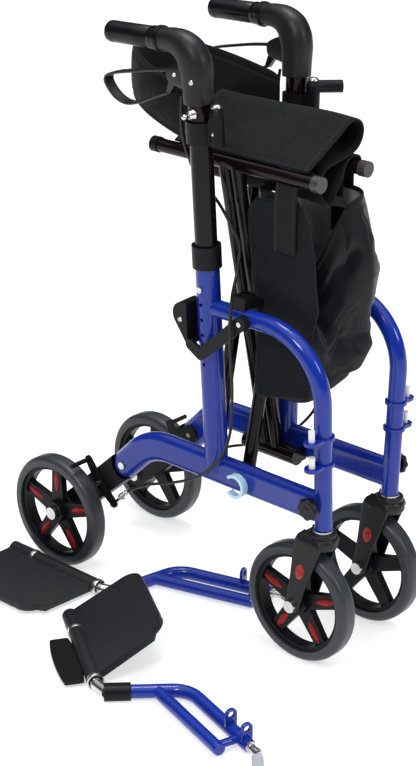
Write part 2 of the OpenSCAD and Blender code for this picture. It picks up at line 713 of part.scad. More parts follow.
// Distance of the cloth from the back ends of the rails
sling_back = 32;
module seat_sling() color("black") {
    lift = brace_r + 2 * gap + webbing_t + cloth_t / 2;
    roll = [50, seat_z + 44];
    loop = [-8, seat_z - 30];
    path = concat(
        arc([-seat_y, seat_z], lift, 132, 118, 3),
        arc(roll, seat_roll_r, 118, -70, 14),
        arc([-8, seat_z + 2], seat_loop_r - 6, 100, 180, 5),
        arc(loop, seat_loop_r, 190, 330, 9),
        arc([seat_y, seat_z], lift, 155, 60, 5));
    translate([-rail_seat_back + sling_back, 0, 0]) rotate([90, 0, 90]) linear_extrude(seat_len) strip_2d(path, cloth_t);
}

// Loop of webbing over a seat rail
webbing_t = 2;
module rail_loop(y, x, drop) translate([x, y, seat_z]) rotate([90, 0, 90]) linear_extrude(webbing_w) difference() {
    union() {
        circle(brace_r + gap + webbing_t);
        translate([-brace_r - gap - webbing_t, -drop]) square([2 * (brace_r + gap + webbing_t), drop]);
    }
    circle(brace_r + gap);
    translate([-brace_r - gap, -drop]) square([2 * (brace_r + gap), drop]);
}

bag_x = 52;
bag_top = seat_z - 52;
loop_x = 96;
loop_drop = 60;
module bag() color("black") {
    difference() {
        hull() {
            translate([bag_x, -bag_half, bag_top - 20]) cube([bag_len, 2 * bag_half, 20]);
            translate([bag_x + 14, -bag_half + 18, bag_top - bag_depth]) cube([bag_len - 28, 2 * bag_half - 36, 10]);
            translate([bag_x + 6, -bag_half, bag_top - bag_depth + 60]) cube([bag_len - 12, 2 * bag_half, 10]);
        }
        translate([bag_x + 8, -bag_half + 8, bag_top - bag_depth + 70])
            cube([bag_len - 16, 2 * bag_half - 16, bag_depth]);
    }
    rail_loop(-seat_y, loop_x, loop_drop);
}

module bag_far_loops() color("black") rail_loop(seat_y, loop_x, loop_drop - 10);

// Backrest band: from the right bracket round behind the handles to the left one, higher at its crown
band_rise = 44;
band_z0 = rail_z + bracket_h + 6;
band_y = 92;
band_front = -handle_r - 14;
function band_mid(t) = [
    band_front - (band_bow + band_front) * sin(180 * t), -band_y * cos(180 * t), band_z0 + band_rise * sin(180 * t)];
function band_out(t) = unit([-band_y * sin(180 * t), -(band_bow + band_front) * cos(180 * t), 0]);
function band_ring(m, o, h, b) = [
    m - o * b + [0, 0, h - b], m + [0, 0, h], m + o * b + [0, 0, h - b],
    m + o * b - [0, 0, h - b], m - [0, 0, h], m - o * b - [0, 0, h - b]];
module backrest_band() {
    steps = 36;
    n = 6;
    points = [for (i = [0:steps]) each band_ring(band_mid(i / steps), band_out(i / steps), band_h / 2, band_t / 2)];
    skin = [for (i = [0:steps - 1]) for (k = [0:n - 1]) let (m = (k + 1) % n)
        each [[i * n + k, i * n + m, (i + 1) * n + m], [i * n + k, (i + 1) * n + m, (i + 1) * n + k]]];
    ends = [[for (k = [n - 1:-1:0]) k], [for (k = [0:n - 1]) steps * n + k]];
    color("black") polyhedron(points, concat(skin, ends), convexity = 6);
}

// Stiff end of the band beside the left handle
module band_end() color("black") translate([band_front + 0.3, band_y - 8, band_z0 - band_h / 2 + 10])
    cube([5.4, 8, band_h - 20]);

// Footrests, lying on the floor

// One footrest drawn flat, with its hinge along +X from the origin and the plate towards +Y
hinge_r = 13;
hinge_len = plate_len + 30;
hanger_run = 100;
hanger_leg = 150;
hanger_turn = 62;
foot_z = hinge_r;
hanger_start = [hinge_len + 24, 10];
hanger_dir = 78;
function turned(p, a, d) = p + d * [cos(a), sin(a)];
bend_p = turned(hanger_start, hanger_dir, hanger_run);
bend_c = turned(bend_p, hanger_dir - 90, hanger_bend_r);
leg_p = turned(bend_c, hanger_dir + 90 - hanger_turn, hanger_bend_r);
leg_dir = hanger_dir - hanger_turn;
leg_q = turned(leg_p, leg_dir, hanger_leg);

module bar_between(p, q, r) translate([p[0], p[1], foot_z]) rotate([0, 90, atan2(q[1] - p[1], q[0] - p[0])])
    cylinder(r = r, h = norm(q - p));

ear_hole_r = pin_d / 2 + 0.3;
knuckle_r = hanger_r + 1.5;
latch_pin_r = 5;
latch_in = 16;
hanger_path = [for (p = concat([hanger_start], arc(bend_c, hanger_bend_r, hanger_dir + 90, leg_dir + 90, 8), [leg_q]))
    [p[0], p[1], foot_z]];
module at_hanger_ears() for (k = [0, 1]) translate([each turned(leg_q, leg_dir, -10 - k * ear_gap), foot_z])
    rotate([90, 0, leg_dir + 90]) children();
module hanger_flat() color("royalblue") difference() {
    union() {
        swept_tube(hanger_path, hanger_r, 16);
        // Elbow into the hinge rod
        bar_between([hinge_len, 0], hanger_start, hanger_r - 1);
        for (p = [hanger_start, [hinge_len, 0]]) translate([p[0], p[1], foot_z - knuckle_r])
            cylinder(r = knuckle_r, h = 2 * knuckle_r);
        translate([0, 0, foot_z]) rotate([0, 90, 0]) cylinder(r = hinge_r - 4, h = hinge_len);
        // Ears that hang on the footrest pins
        at_hanger_ears() hanger_ear();
    }
    at_hanger_ears() translate([0, hanger_r + 14, -10]) cylinder(r = ear_hole_r, h = 20);
    translate([each turned(leg_q, leg_dir, -latch_in - 1), foot_z]) rotate([0, 90, leg_dir])
        cylinder(r = latch_pin_r + run, h = 2 * latch_in);
}

module hanger_ear() linear_extrude(5, center = true) {
    translate([-10, 0]) square([20, hanger_r + 14]);
    translate([0, hanger_r + 14]) circle(10);
}

module footplate_flat() color("black") difference() {
    union() {
        translate([14, 0, foot_z]) rotate([0, 90, 0]) cylinder(r = hinge_r, h = plate_len);
        translate([14, 0, foot_z - plate_t / 2]) linear_extrude(plate_t) {
            polygon([[0, 0], [plate_len, 0], [plate_len - 8, plate_reach - 40], [plate_len - 60, plate_reach - 14],
                [30, plate_reach - 14], [0, plate_reach - 40]]);
            translate([30, plate_reach - 44]) circle(30);
            translate([plate_len - 50, plate_reach - 44]) circle(30);
        }
    }
    translate([0, 0, foot_z]) rotate([0, 90, 0]) cylinder(r = hinge_r - 4 + run, h = hinge_len);
}

latch_out = 22;
module latch_flat() color("silver") {
    p = turned(leg_q, leg_dir, -latch_in);
    translate([p[0], p[1], foot_z]) rotate([0, 90, leg_dir]) cylinder(r = latch_pin_r, h = latch_in + latch_out);
    q = turned(leg_q, leg_dir, latch_out);
    translate([q[0], q[1], foot_z]) rotate([0, 0, leg_dir - 30]) translate([0, -9, -3]) cube([46, 18, 6]);
}

// The near footplate stands part of the way up
plate_up = 30;
module turned_up(a) translate([0, 0, foot_z]) rotate([a, 0, 0]) translate([0, 0, -foot_z]) children();

// Places of the two footrests on the floor
right_foot_at = [-179, -254];
right_foot_turn = -33;
left_foot_at = [-425, -163];
left_foot_turn = 0;
module right_foot() translate([right_foot_at[0], right_foot_at[1], 0]) rotate([0, 0, right_foot_turn]) children();
module left_foot() translate([left_foot_at[0], left_foot_at[1], 0]) rotate([0, 0, left_foot_turn]) children();

chair() side_frame();  // right_frame
chair() left_side() side_frame();  // left_frame
chair() post_collar();  // right_post_collar
chair() left_side() post_collar();  // left_post_collar
chair() seat_saddle();  // right_seat_saddle
chair() left_side() seat_saddle();  // left_seat_saddle
chair() axle_carrier();  // right_axle_carrier
chair() left_side() axle_carrier();  // left_axle_carrier
chair() frame_fittings();  // right_frame_fittings
chair() left_side() frame_fittings();  // left_frame_fittings
chair() pivot_tube();  // right_pivot_tube
chair() left_side() pivot_tube();  // left_pivot_tube
chair() lock_lever();  // right_lock_lever
chair() left_side() lock_lever();  // left_lock_lever
chair() handle_tube();  // right_handle_tube
chair() left_side() handle_tube();  // left_handle_tube
chair() elbow();  // right_elbow
chair() left_side() elbow();  // left_elbow
chair() grip();  // right_grip
chair() left_side() grip();  // left_grip
chair() back_bracket();  // right_back_bracket
chair() left_side() back_bracket();  // left_back_bracket
chair() brake_lever();  // right_brake_lever
chair() left_side() brake_lever();  // left_brake_lever
chair() brake_arm();  // right_brake_arm
chair() left_side() brake_arm();  // left_brake_arm
chair() brake_cable();  // right_brake_cable
chair() left_side() brake_cable();  // left_brake_cable
chair() caster_fork();  // right_caster_fork
chair() left_side() caster_fork();  // left_caster_fork
chair() caster_bolts();  // right_caster_bolts
chair() left_side() caster_bolts();  // left_caster_bolts
chair() color("black") at_front_wheel() rim();  // right_front_rim
chair() left_side() color("black") at_front_wheel() rim();  // left_front_rim
chair() color("gray") at_front_wheel() tyre();  // right_front_tyre
chair() left_side() color("gray") at_front_wheel() tyre();  // left_front_tyre
chair() color("black") at_rear_wheel() rim();  // right_rear_rim
chair() left_side() color("black") at_rear_wheel() rim();  // left_rear_rim
chair() color("gray") at_rear_wheel() tyre();  // right_rear_tyre
chair() left_side() color("gray") at_rear_wheel() tyre();  // left_rear_tyre
chair() rail_clip();
chair() brace_outer();
chair() brace_inner();
chair() rail_caps(seat_y);  // outer_rail_caps
chair() rail_caps(-seat_y);  // inner_rail_caps
chair() cross_bolt();
chair() seat_sling();
chair() bag();
chair() bag_far_loops();
chair() backrest_band();
chair() band_end();
chair() right_foot() hanger_flat();  // right_hanger
chair() left_foot() hanger_flat();  // left_hanger
chair() right_foot() turned_up(plate_up) footplate_flat();  // right_footplate
chair() left_foot() mirror([0, 1, 0]) footplate_flat();  // left_footplate
chair() right_foot() latch_flat();  // right_latch
chair() left_foot() latch_flat();  // left_latch
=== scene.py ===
"""Looks of a folded rollator transport chair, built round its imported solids.

Lengths in the classes are millimetres in the chair's own frame: the post line is at x = 0, the
chair's middle is at y = 0, the right side is at -Y and the floor is at z = 0.
"""

from __future__ import annotations

import logging
import math
from collections.abc import Callable, Sequence
from dataclasses import dataclass, field
from enum import Enum

import bmesh
import bpy
import numpy as np
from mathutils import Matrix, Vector

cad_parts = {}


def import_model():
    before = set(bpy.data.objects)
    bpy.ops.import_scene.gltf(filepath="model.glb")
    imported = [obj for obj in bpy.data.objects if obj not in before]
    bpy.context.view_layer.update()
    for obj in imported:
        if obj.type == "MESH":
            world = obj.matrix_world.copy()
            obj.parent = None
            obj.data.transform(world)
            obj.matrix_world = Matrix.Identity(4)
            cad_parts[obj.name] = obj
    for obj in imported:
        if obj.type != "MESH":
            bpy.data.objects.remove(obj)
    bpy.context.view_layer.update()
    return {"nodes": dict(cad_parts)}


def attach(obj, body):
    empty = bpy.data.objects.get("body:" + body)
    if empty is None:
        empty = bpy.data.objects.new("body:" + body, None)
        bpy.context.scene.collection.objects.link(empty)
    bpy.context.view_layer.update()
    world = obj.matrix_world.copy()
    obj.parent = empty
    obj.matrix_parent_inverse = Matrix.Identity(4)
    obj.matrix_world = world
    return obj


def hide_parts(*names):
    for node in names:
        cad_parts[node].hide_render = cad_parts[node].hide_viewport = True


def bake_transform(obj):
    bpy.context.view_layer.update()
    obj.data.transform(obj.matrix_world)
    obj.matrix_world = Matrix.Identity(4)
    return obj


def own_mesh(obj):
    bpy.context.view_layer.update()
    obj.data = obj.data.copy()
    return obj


LOG = logging.getLogger("chair")
Array = np.ndarray
Pair = tuple[float, float]
Point = tuple[float, float, float]
Four = tuple[float, float, float, float]
Row = tuple[float, ...]
Colour = Point
Piece = bpy.types.Object
Tree = bpy.types.NodeTree
Node = bpy.types.Node
Socket = bpy.types.NodeSocket

MM = 0.001
# The model's origin in the chair's frame
ORIGIN = np.array([-35.6, -122.9, 0.0])
# The lower rails' distance from the middle and height, and the side frames' lean and the posts' rake
HALF_TRACK = 85.0
RAIL_Z = 274.0
LEAN = math.radians(2.6)
RAKE = math.radians(1.2)
# The wheels' radius and the axles' places
WHEEL_R = 100.0
FRONT_AXLE_X = 179.0
REAR_AXLE_X = -333.0
REAR_AXLE_OUT = 37.0
# The front legs' place
LEG_X = 219.0
# Outwards on the right side, and up
OUT = (0.0, -1.0, 0.0)
UP = (0.0, 0.0, 1.0)
# Nearer points than this, in metres, count as one
WELD = 2e-6
# The radius of a turned piece at its closed tip
TIP = 0.02


class Side(Enum):
    """The two sides of the chair; the value is the sign of the mirror."""

    RIGHT = 1.0
    LEFT = -1.0

    @property
    def word(self) -> str:
        """The side's name, as the solids use it."""
        return self.name.lower()


# Places


def metres(points: Array) -> Array:
    """Points of the chair in millimetres, as points of the model in metres."""
    return (np.asarray(points, float) - ORIGIN) * MM


def on_side(points: Array, side: Side) -> Array:
    """Points of the right side, mirrored in the chair's middle for the left side."""
    return np.asarray(points, float) * np.array([1.0, side.value, 1.0])


def leaned(points: Array) -> Array:
    """Points counted from the right lower rail in the leaning plane, as points of the chair.

    Args:
        points: x forward, y inwards and z up from the rail, before the lean.

    Returns:
        The points turned by the lean about the rail and moved out to the side frame.
    """
    p = np.asarray(points, float)
    y = p[..., 1] * math.cos(LEAN) - p[..., 2] * math.sin(LEAN) - HALF_TRACK
    z = p[..., 1] * math.sin(LEAN) + p[..., 2] * math.cos(LEAN) + RAIL_Z
    return np.stack([p[..., 0], y, z], -1)


def post_line(points: Array) -> Array:
    """Points counted along the right post, as points of the chair.

    Args:
        points: x forward, y inwards and z up along the post, from the lower rail.

    Returns:
        The points turned by the rake first, then by the lean.
    """
    p = np.asarray(points, float)
    x = p[..., 0] * math.cos(RAKE) - p[..., 2] * math.sin(RAKE)
    z = p[..., 0] * math.sin(RAKE) + p[..., 2] * math.cos(RAKE)
    return leaned(np.stack([x, p[..., 1], z], -1))


# Surfaces


def unit(v: Array) -> Array:
    """Vectors scaled to length one."""
    return v / np.maximum(np.linalg.norm(v, axis=-1, keepdims=True), 1e-12)


def smooth_path(points: Sequence[Sequence[float]], steps: int) -> Array:
    """A smooth curve through points.

    Each stretch is the cubic whose slopes at its ends are half the chord of the points beside it.

    Args:
        points: the points that the curve passes through.
        steps: how many points each stretch gets.

    Returns:
        The curve's points, the last one included.
    """
    p = np.asarray(points, float)
    k = np.arange(len(p) - 1)
    before = p[np.maximum(k - 1, 0)]
    after = p[np.minimum(k + 2, len(p) - 1)]
    a, b, c, d = (q[:, None] for q in (before, p[:-1], p[1:], after))
    t = (np.arange(steps) / steps)[None, :, None]
    curve = 0.5 * (2 * b + (c - a) * t + (2 * a - 5 * b + 4 * c - d) * t**2 + (3 * b - a - 3 * c + d) * t**3)
    return np.vstack([curve.reshape(-1, p.shape[1]), p[-1:]])


def even_path(points: Array, count: int) -> Array:
    """The same path with its points at even distances along it.

    Args:
        points: the path.
        count: how many points it gets.

    Returns:
        The path's new points.
    """
    s = path_length(points)
    at = np.linspace(0, s[-1], count)
    return np.stack([np.interp(at, s, points[:, k]) for k in range(points.shape[1])], -1)


def path_length(points: Array) -> Array:
    """Distance along a path up to each of its points."""
    return np.concatenate([[0.0], np.cumsum(np.linalg.norm(np.diff(points, axis=0), axis=1))])


def upright(points: Array) -> Array:
    """Points of x and z, laid in the plane y = 0."""
    return np.stack([points[:, 0], np.zeros(len(points)), points[:, 1]], -1)


def signed_power(x: Array, power: float) -> Array:
    """A power of a value's size that keeps its sign."""
    return np.sign(x) * np.abs(x) ** power


def sweep(
    path: Array,
    across: Array | float,
    up: Array | float,
    sides: int,
    power: float = 2.0,
    hint: Sequence[float] = (0, 1, 0),
) -> Array:
    """A closed section carried along a path.

    The section is the superellipse |a/across|^power + |b/up|^power = 1, and it lies square to the
    path with a along the hint.

    Args:
        path: the points of the centre line.
        across: half width of the section along the hint, one or at each point.
        up: half width of the section square to the hint, one or at each point.
        sides: points round the section.
        power: 2 gives an ellipse, more gives a squarer section.
        hint: direction that the section's first half width follows.

    Returns:
        A grid of points, one row for each point of the path.
    """
    along = unit(np.gradient(path, axis=0))
    a_dir = unit(np.asarray(hint, float) - (along @ np.asarray(hint, float))[:, None] * along)
    b_dir = np.cross(along, a_dir)
    turn = np.linspace(0, 2 * np.pi, sides, endpoint=False)
    a = signed_power(np.cos(turn), 2 / power)[None, :, None]
    b = signed_power(np.sin(turn), 2 / power)[None, :, None]
    across = np.broadcast_to(across, len(path))[:, None, None]
    up = np.broadcast_to(up, len(path))[:, None, None]
    return path[:, None] + across * a * a_dir[:, None] + up * b * b_dir[:, None]


def along_marks(count: int, values: Sequence[float]) -> Array:
    """Values at even marks, read at a number of even steps from the first mark to the last."""
    return np.interp(np.linspace(0, 1, count), np.linspace(0, 1, len(values)), values)


def tapered(
    path: Array,
    across: Sequence[float],
    up: Sequence[float],
    sides: int,
    power: float,
    hint: Sequence[float] = (0, 1, 0),
) -> Array:
    """A section carried along a path as in sweep, with its half widths given at even marks."""
    return sweep(path, along_marks(len(path), across), along_marks(len(path), up), sides, power, hint)


def turned(
    profile: Sequence[Sequence[float]], start: Sequence[float], axis: Sequence[float], sides: int,
) -> Array:
    """A profile of radius and distance, turned about an axis.

    Args:
        profile: pairs of radius and distance along the axis.
        start: the point from which the distance counts.
        axis: the axis's direction.
        sides: points round the axis.

    Returns:
        A grid of points, one row for each point of the profile.
    """
    p = np.asarray(profile, float)
    n = unit(np.asarray(axis, float))
    side = unit(np.cross(n, [0.0, 1.0, 0.0] if abs(n[1]) < 0.9 else [1.0, 0.0, 0.0]))
    turn = np.linspace(0, 2 * np.pi, sides, endpoint=False)
    ring = np.cos(turn)[:, None] * side + np.sin(turn)[:, None] * np.cross(n, side)
    return np.asarray(start, float) + p[:, 0, None, None] * ring[None] + p[:, 1, None, None] * n


@dataclass
class Skin:
    """Surfaces gathered into one mesh.

    Each surface is a grid of points; its UV map is in millimetres along the grid, so that a weave
    or a row of stitches keeps its size.
    """

    points: list[Array] = field(default_factory=list)
    faces: list[Array] = field(default_factory=list)
    uvs: list[Array] = field(default_factory=list)
    count: int = 0

    def add(
        self,
        grid: Array,
        round_v: bool = False,
        ends: bool = False,
        flip: bool = False,
        uv: Array | None = None,
    ) -> Skin:
        """Adds one grid of points.

        Args:
            grid: points in chair millimetres, rows by columns.
            round_v: whether the last column joins the first.
            ends: whether the first and last rows close to a point each.
            flip: whether the faces are turned round.
            uv: the map's millimetres, rows by columns plus one if it is round.

        Returns:
            The skin itself.
        """
        if ends:
            first = np.repeat(grid[:1].mean(1, keepdims=True), grid.shape[1], 1)
            last = np.repeat(grid[-1:].mean(1, keepdims=True), grid.shape[1], 1)
            grid = np.concatenate([first, grid, last])
            if uv is not None:
                uv = np.concatenate([uv[:1], uv, uv[-1:]])
        rows, cols = grid.shape[:2]
        wide = cols + 1 if round_v else cols
        if uv is None:
            mid = grid[:, : cols // 2 + 1].mean(1)
            u = path_length(mid)
            v = path_length(grid[rows // 2][np.arange(wide) % cols])
            uv = np.stack(np.meshgrid(u, v, indexing="ij"), -1)
        i, j = np.meshgrid(np.arange(rows - 1), np.arange(wide - 1), indexing="ij")
        corners = [(i, j), (i + 1, j), (i + 1, j + 1), (i, j + 1)]
        if flip:
            corners = corners[::-1]
        self.faces.append(self.count + np.stack([a * cols + b % cols for a, b in corners], -1).reshape(-1, 4))
        self.uvs.append(np.stack([uv[a, b] for a, b in corners], 2).reshape(-1, 2))
        self.points.append(grid.reshape(-1, 3))
        self.count += rows * cols
        return self

    def solid(self, grid: Array) -> Skin:
        """Adds a grid that is round and closed at both ends."""
        return self.add(grid, round_v=True, ends=True)

    def build(self, name: str) -> Piece:
        """Makes the object, merges its poles and turns its faces outwards.

        Args:
            name: the piece's name.

        Returns:
            The object, shaded smooth and linked to the scene, at the origin.
        """
        mesh = bpy.data.meshes.new(name)
        mesh.from_pydata(metres(np.concatenate(self.points)), [], np.concatenate(self.faces).tolist())
        layer = mesh.uv_layers.new(name="UVMap")
        layer.data.foreach_set("uv", np.concatenate(self.uvs).astype(np.float32).ravel())
        merge_poles(mesh)
        mesh.polygons.foreach_set("use_smooth", np.ones(len(mesh.polygons), bool))
        obj = bpy.data.objects.new(name, mesh)
        bpy.context.scene.collection.objects.link(obj)
        return obj


def merge_poles(mesh: bpy.types.Mesh) -> None:
    """Merges doubled points, drops empty faces and turns the rest outwards.

    Args:
        mesh: the mesh that is changed.
    """
    work = bmesh.new()
    work.from_mesh(mesh)
    bmesh.ops.remove_doubles(work, verts=work.verts, dist=WELD)
    bmesh.ops.dissolve_degenerate(work, edges=work.edges, dist=1e-7)
    bmesh.ops.recalc_face_normals(work, faces=work.faces)
    work.to_mesh(mesh)
    work.free()
    mesh.update()


def thicken(obj: Piece, thick: float) -> Piece:
    """Gives a sheet a wall, half to each side.

    Args:
        obj: the sheet.
        thick: the wall in millimetres.

    Returns:
        The same sheet.
    """
    wall = obj.modifiers.new("wall", "SOLIDIFY")
    wall.thickness = thick * MM
    wall.offset = 0.0
    return obj


# Finishes


class Texture(Enum):
    """How a finish breaks up its surface."""

    PEEL = "peel"
    GRAIN = "grain"
    BRUSHED = "brushed"
    RUBBER = "rubber"
    WEAVE = "weave"
    TREAD = "tread"
    WEBBING = "webbing"
    CRUMPLE = "crumple"


class Nodes:
    """A node tree with short ways to add nodes and join them."""

    def __init__(self, tree: Tree) -> None:
        """Keeps the tree and empties it."""
        self.tree = tree
        tree.nodes.clear()

    def add(self, kind: str, **values: object) -> Node:
        """Adds a node and sets its properties.

        Args:
            kind: the node's type name.
            values: its properties by name.

        Returns:
            The node.
        """
        node = self.tree.nodes.new(kind)
        for key, value in values.items():
            setattr(node, key, value)
        return node

    def join(self, source: Socket, target: Socket) -> None:
        """Links an output to an input."""
        self.tree.links.new(source, target)

    def math(
        self, how: str, a: object, b: object = 0.0, c: object = None, clamp: bool = False,
    ) -> Socket:
        """Adds a Math node on sockets or numbers.

        Args:
            how: the operation's name.
            a: first value.
            b: second value.
            c: third value, where the operation has one.
            clamp: whether the result is held between 0 and 1.

        Returns:
            The node's output.
        """
        node = self.add("ShaderNodeMath", operation=how, use_clamp=clamp)
        for k, value in enumerate((a, b, c)):
            if isinstance(value, Socket):
                self.join(value, node.inputs[k])
            elif value is not None:
                node.inputs[k].default_value = value
        return node.outputs[0]

    def noise(
        self, place: Socket, scale: Socket, **values: float,
    ) -> Socket:
        """Adds noise.

        Args:
            place: the coordinates that it lies on.
            scale: how fine it is.
            values: its other inputs by name.

        Returns:
            The noise's factor.
        """
        node = self.add("ShaderNodeTexNoise")
        for key, value in values.items():
            node.inputs[key].default_value = value
        self.join(place, node.inputs["Vector"])
        self.join(scale, node.inputs["Scale"])
        return node.outputs["Fac"]


def new_group(
    name: str, inputs: dict[str, float], outputs: Sequence[str],
) -> tuple[Nodes, Node, Node]:
    """Starts a shader node group of numbers.

    Args:
        name: the group's name.
        inputs: each input's name and default.
        outputs: each output's name.

    Returns:
        The group's nodes, its input node and its output node.
    """
    kind = "NodeSocketFloat"
    tree = bpy.data.node_groups.new(name, "ShaderNodeTree")
    for key, value in inputs.items():
        tree.interface.new_socket(key, in_out="INPUT", socket_type=kind).default_value = value
    for key in outputs:
        tree.interface.new_socket(key, in_out="OUTPUT", socket_type=kind)
    n = Nodes(tree)
    return n, n.add("NodeGroupInput"), n.add("NodeGroupOutput")


def mottle_group() -> Tree:
    """Slow and fine noise on the piece's own coordinates: a factor for colour and one for gloss."""
    n, given, out = new_group("mottle", {"Scale": 12.0, "Amount": 0.2}, ("Shade", "Fine"))
    place = n.add("ShaderNodeTexCoord").outputs["Object"]
    scale = given.outputs["Scale"]
    slow = n.noise(place, scale, Detail=3.0)
    fine = n.noise(place, n.math("MULTIPLY", scale, 9.0), Detail=6.0)
    swing = n.math("MULTIPLY", n.math("SUBTRACT", slow, 0.5), given.outputs["Amount"])
    n.join(n.math("ADD", n.math("MULTIPLY", swing, 2.0), 1.0), out.inputs["Shade"])
    n.join(fine, out.inputs["Fine"])
    return n.tree


def weave_height(
    n: Nodes, place: Socket, pitch: Socket, slanted: bool,
) -> Socket:
    """The height of a weave: the product of a wave along the map and one across it.

    Args:
        n: the group's nodes.
        place: the map's millimetres.
        pitch: the weave's pitch.
        slanted: whether the weave runs slantwise, as webbing's does.

    Returns:
        The height, from 0 to 1.
    """
    split = n.add("ShaderNodeSeparateXYZ")
    n.join(place, split.inputs[0])
    turns = n.math("DIVIDE", 2 * math.pi, pitch)
    u = n.math("MULTIPLY", split.outputs["X"], turns)
    v = n.math("MULTIPLY", split.outputs["Y"], turns)
    if slanted:
        u, v = n.math("ADD", u, v), n.math("MULTIPLY", n.math("SUBTRACT", v, u), 0.5)
    return n.math("MULTIPLY_ADD", n.math("MULTIPLY", n.math("SINE", u), n.math("SINE", v)), 0.5, 0.5)


def tread_height(
    n: Nodes, place: Socket, per_metre: Socket,
) -> Socket:
    """The height of a field of small bumps in rows.

    Args:
        n: the group's nodes.
        place: the piece's own coordinates.
        per_metre: bumps in a metre.

    Returns:
        The height, from 0 to 1.
    """
    split = n.add("ShaderNodeSeparateXYZ")
    n.join(place, split.inputs[0])
    turns = n.math("MULTIPLY", per_metre, 2 * math.pi)
    waves = [n.math("SINE", n.math("MULTIPLY", split.outputs[axis], turns)) for axis in ("X", "Y")]
    return n.math("MULTIPLY", n.math("ADD", n.math("ADD", *waves), 0.6), 0.5, clamp=True)


def relief_group(texture: Texture) -> Tree:
    """The height of one texture.

    Peel and grain are noise and cells on the piece's own coordinates, brushing is noise stretched
    along one axis, and crumpling has valleys where slow noise crosses its middle.

    Args:
        texture: which texture.

    Returns:
        A group with the input Pitch in millimetres and the output Height.
    """
    n, given, out = new_group("relief_" + texture.value, {"Pitch": 1.0}, ("Height",))
    coords = n.add("ShaderNodeTexCoord")
    place = coords.outputs["Object"]
    pitch = given.outputs["Pitch"]
    per_metre = n.math("DIVIDE", 1.0 / MM, pitch)
    if texture in (Texture.WEAVE, Texture.WEBBING):
        height = weave_height(n, coords.outputs["UV"], pitch, texture is Texture.WEBBING)
    elif texture is Texture.BRUSHED:
        stretch = n.add("ShaderNodeMapping")
        stretch.inputs["Scale"].default_value = (1.0, 1.0, 0.06)
        n.join(place, stretch.inputs["Vector"])
        height = n.noise(stretch.outputs["Vector"], per_metre, Detail=4.0)
    elif texture is Texture.TREAD:
        height = tread_height(n, place, per_metre)
    elif texture is Texture.CRUMPLE:
        slow = n.noise(place, per_metre, Detail=1.0, Roughness=0.4, Distortion=0.5)
        fold = n.math("MULTIPLY", n.math("ABSOLUTE", n.math("SUBTRACT", slow, 0.5)), 4.0)
        height = n.math("SMOOTH_MIN", fold, 0.9, 0.5)
    elif texture is Texture.GRAIN:
        cells = n.add("ShaderNodeTexVoronoi", feature="SMOOTH_F1")
        n.join(place, cells.inputs["Vector"])
        n.join(per_metre, cells.inputs["Scale"])
        height = cells.outputs["Distance"]
    else:
        height = n.noise(place, per_metre, Detail=1.5 if texture is Texture.PEEL else 5.0)
    n.join(height, out.inputs["Height"])
    return n.tree


def scuff_group() -> Tree:
    """Thin scratches and rubbed spots: a mask that is mostly nothing."""
    n, given, out = new_group("scuff", {"Scale": 30.0, "Share": 0.3}, ("Mask",))
    place = n.add("ShaderNodeTexCoord").outputs["Object"]
    spots = n.noise(place, given.outputs["Scale"], Detail=8.0, Roughness=0.7, Distortion=1.5)
    least = n.math("SUBTRACT", 0.78, n.math("MULTIPLY", given.outputs["Share"], 0.2))
    n.join(n.math("MULTIPLY", n.math("SUBTRACT", spots, least), 6.0, clamp=True), out.inputs["Mask"])
    return n.tree


def stitch_group() -> Tree:
    """Rows of stitches along the map's first axis, one at Row and one at Second, in millimetres."""
    inputs = {"Row": 4.0, "Second": -99.0, "Pitch": 4.0, "Wide": 0.5}
    n, given, out = new_group("stitch", inputs, ("Mask",))
    split = n.add("ShaderNodeSeparateXYZ")
    n.join(n.add("ShaderNodeTexCoord").outputs["UV"], split.inputs[0])
    step = n.math("FRACT", n.math("DIVIDE", split.outputs["X"], given.outputs["Pitch"]))
    dash = n.math("LESS_THAN", step, 0.68)
    rows = []
    for key in ("Row", "Second"):
        away = n.math("ABSOLUTE", n.math("SUBTRACT", split.outputs["Y"], given.outputs[key]))
        rows.append(n.math("LESS_THAN", away, given.outputs["Wide"]))
    n.join(n.math("MULTIPLY", dash, n.math("MAXIMUM", *rows)), out.inputs["Mask"])
    return n.tree


class Groups:
    """The shared node groups, each built once."""

    built: dict[str, Tree] = {}

    @classmethod
    def get(cls, name: str, maker: Callable[[], Tree]) -> Tree:
        """The group of that name, made on first use."""
        if name not in cls.built:
            cls.built[name] = maker()
        return cls.built[name]


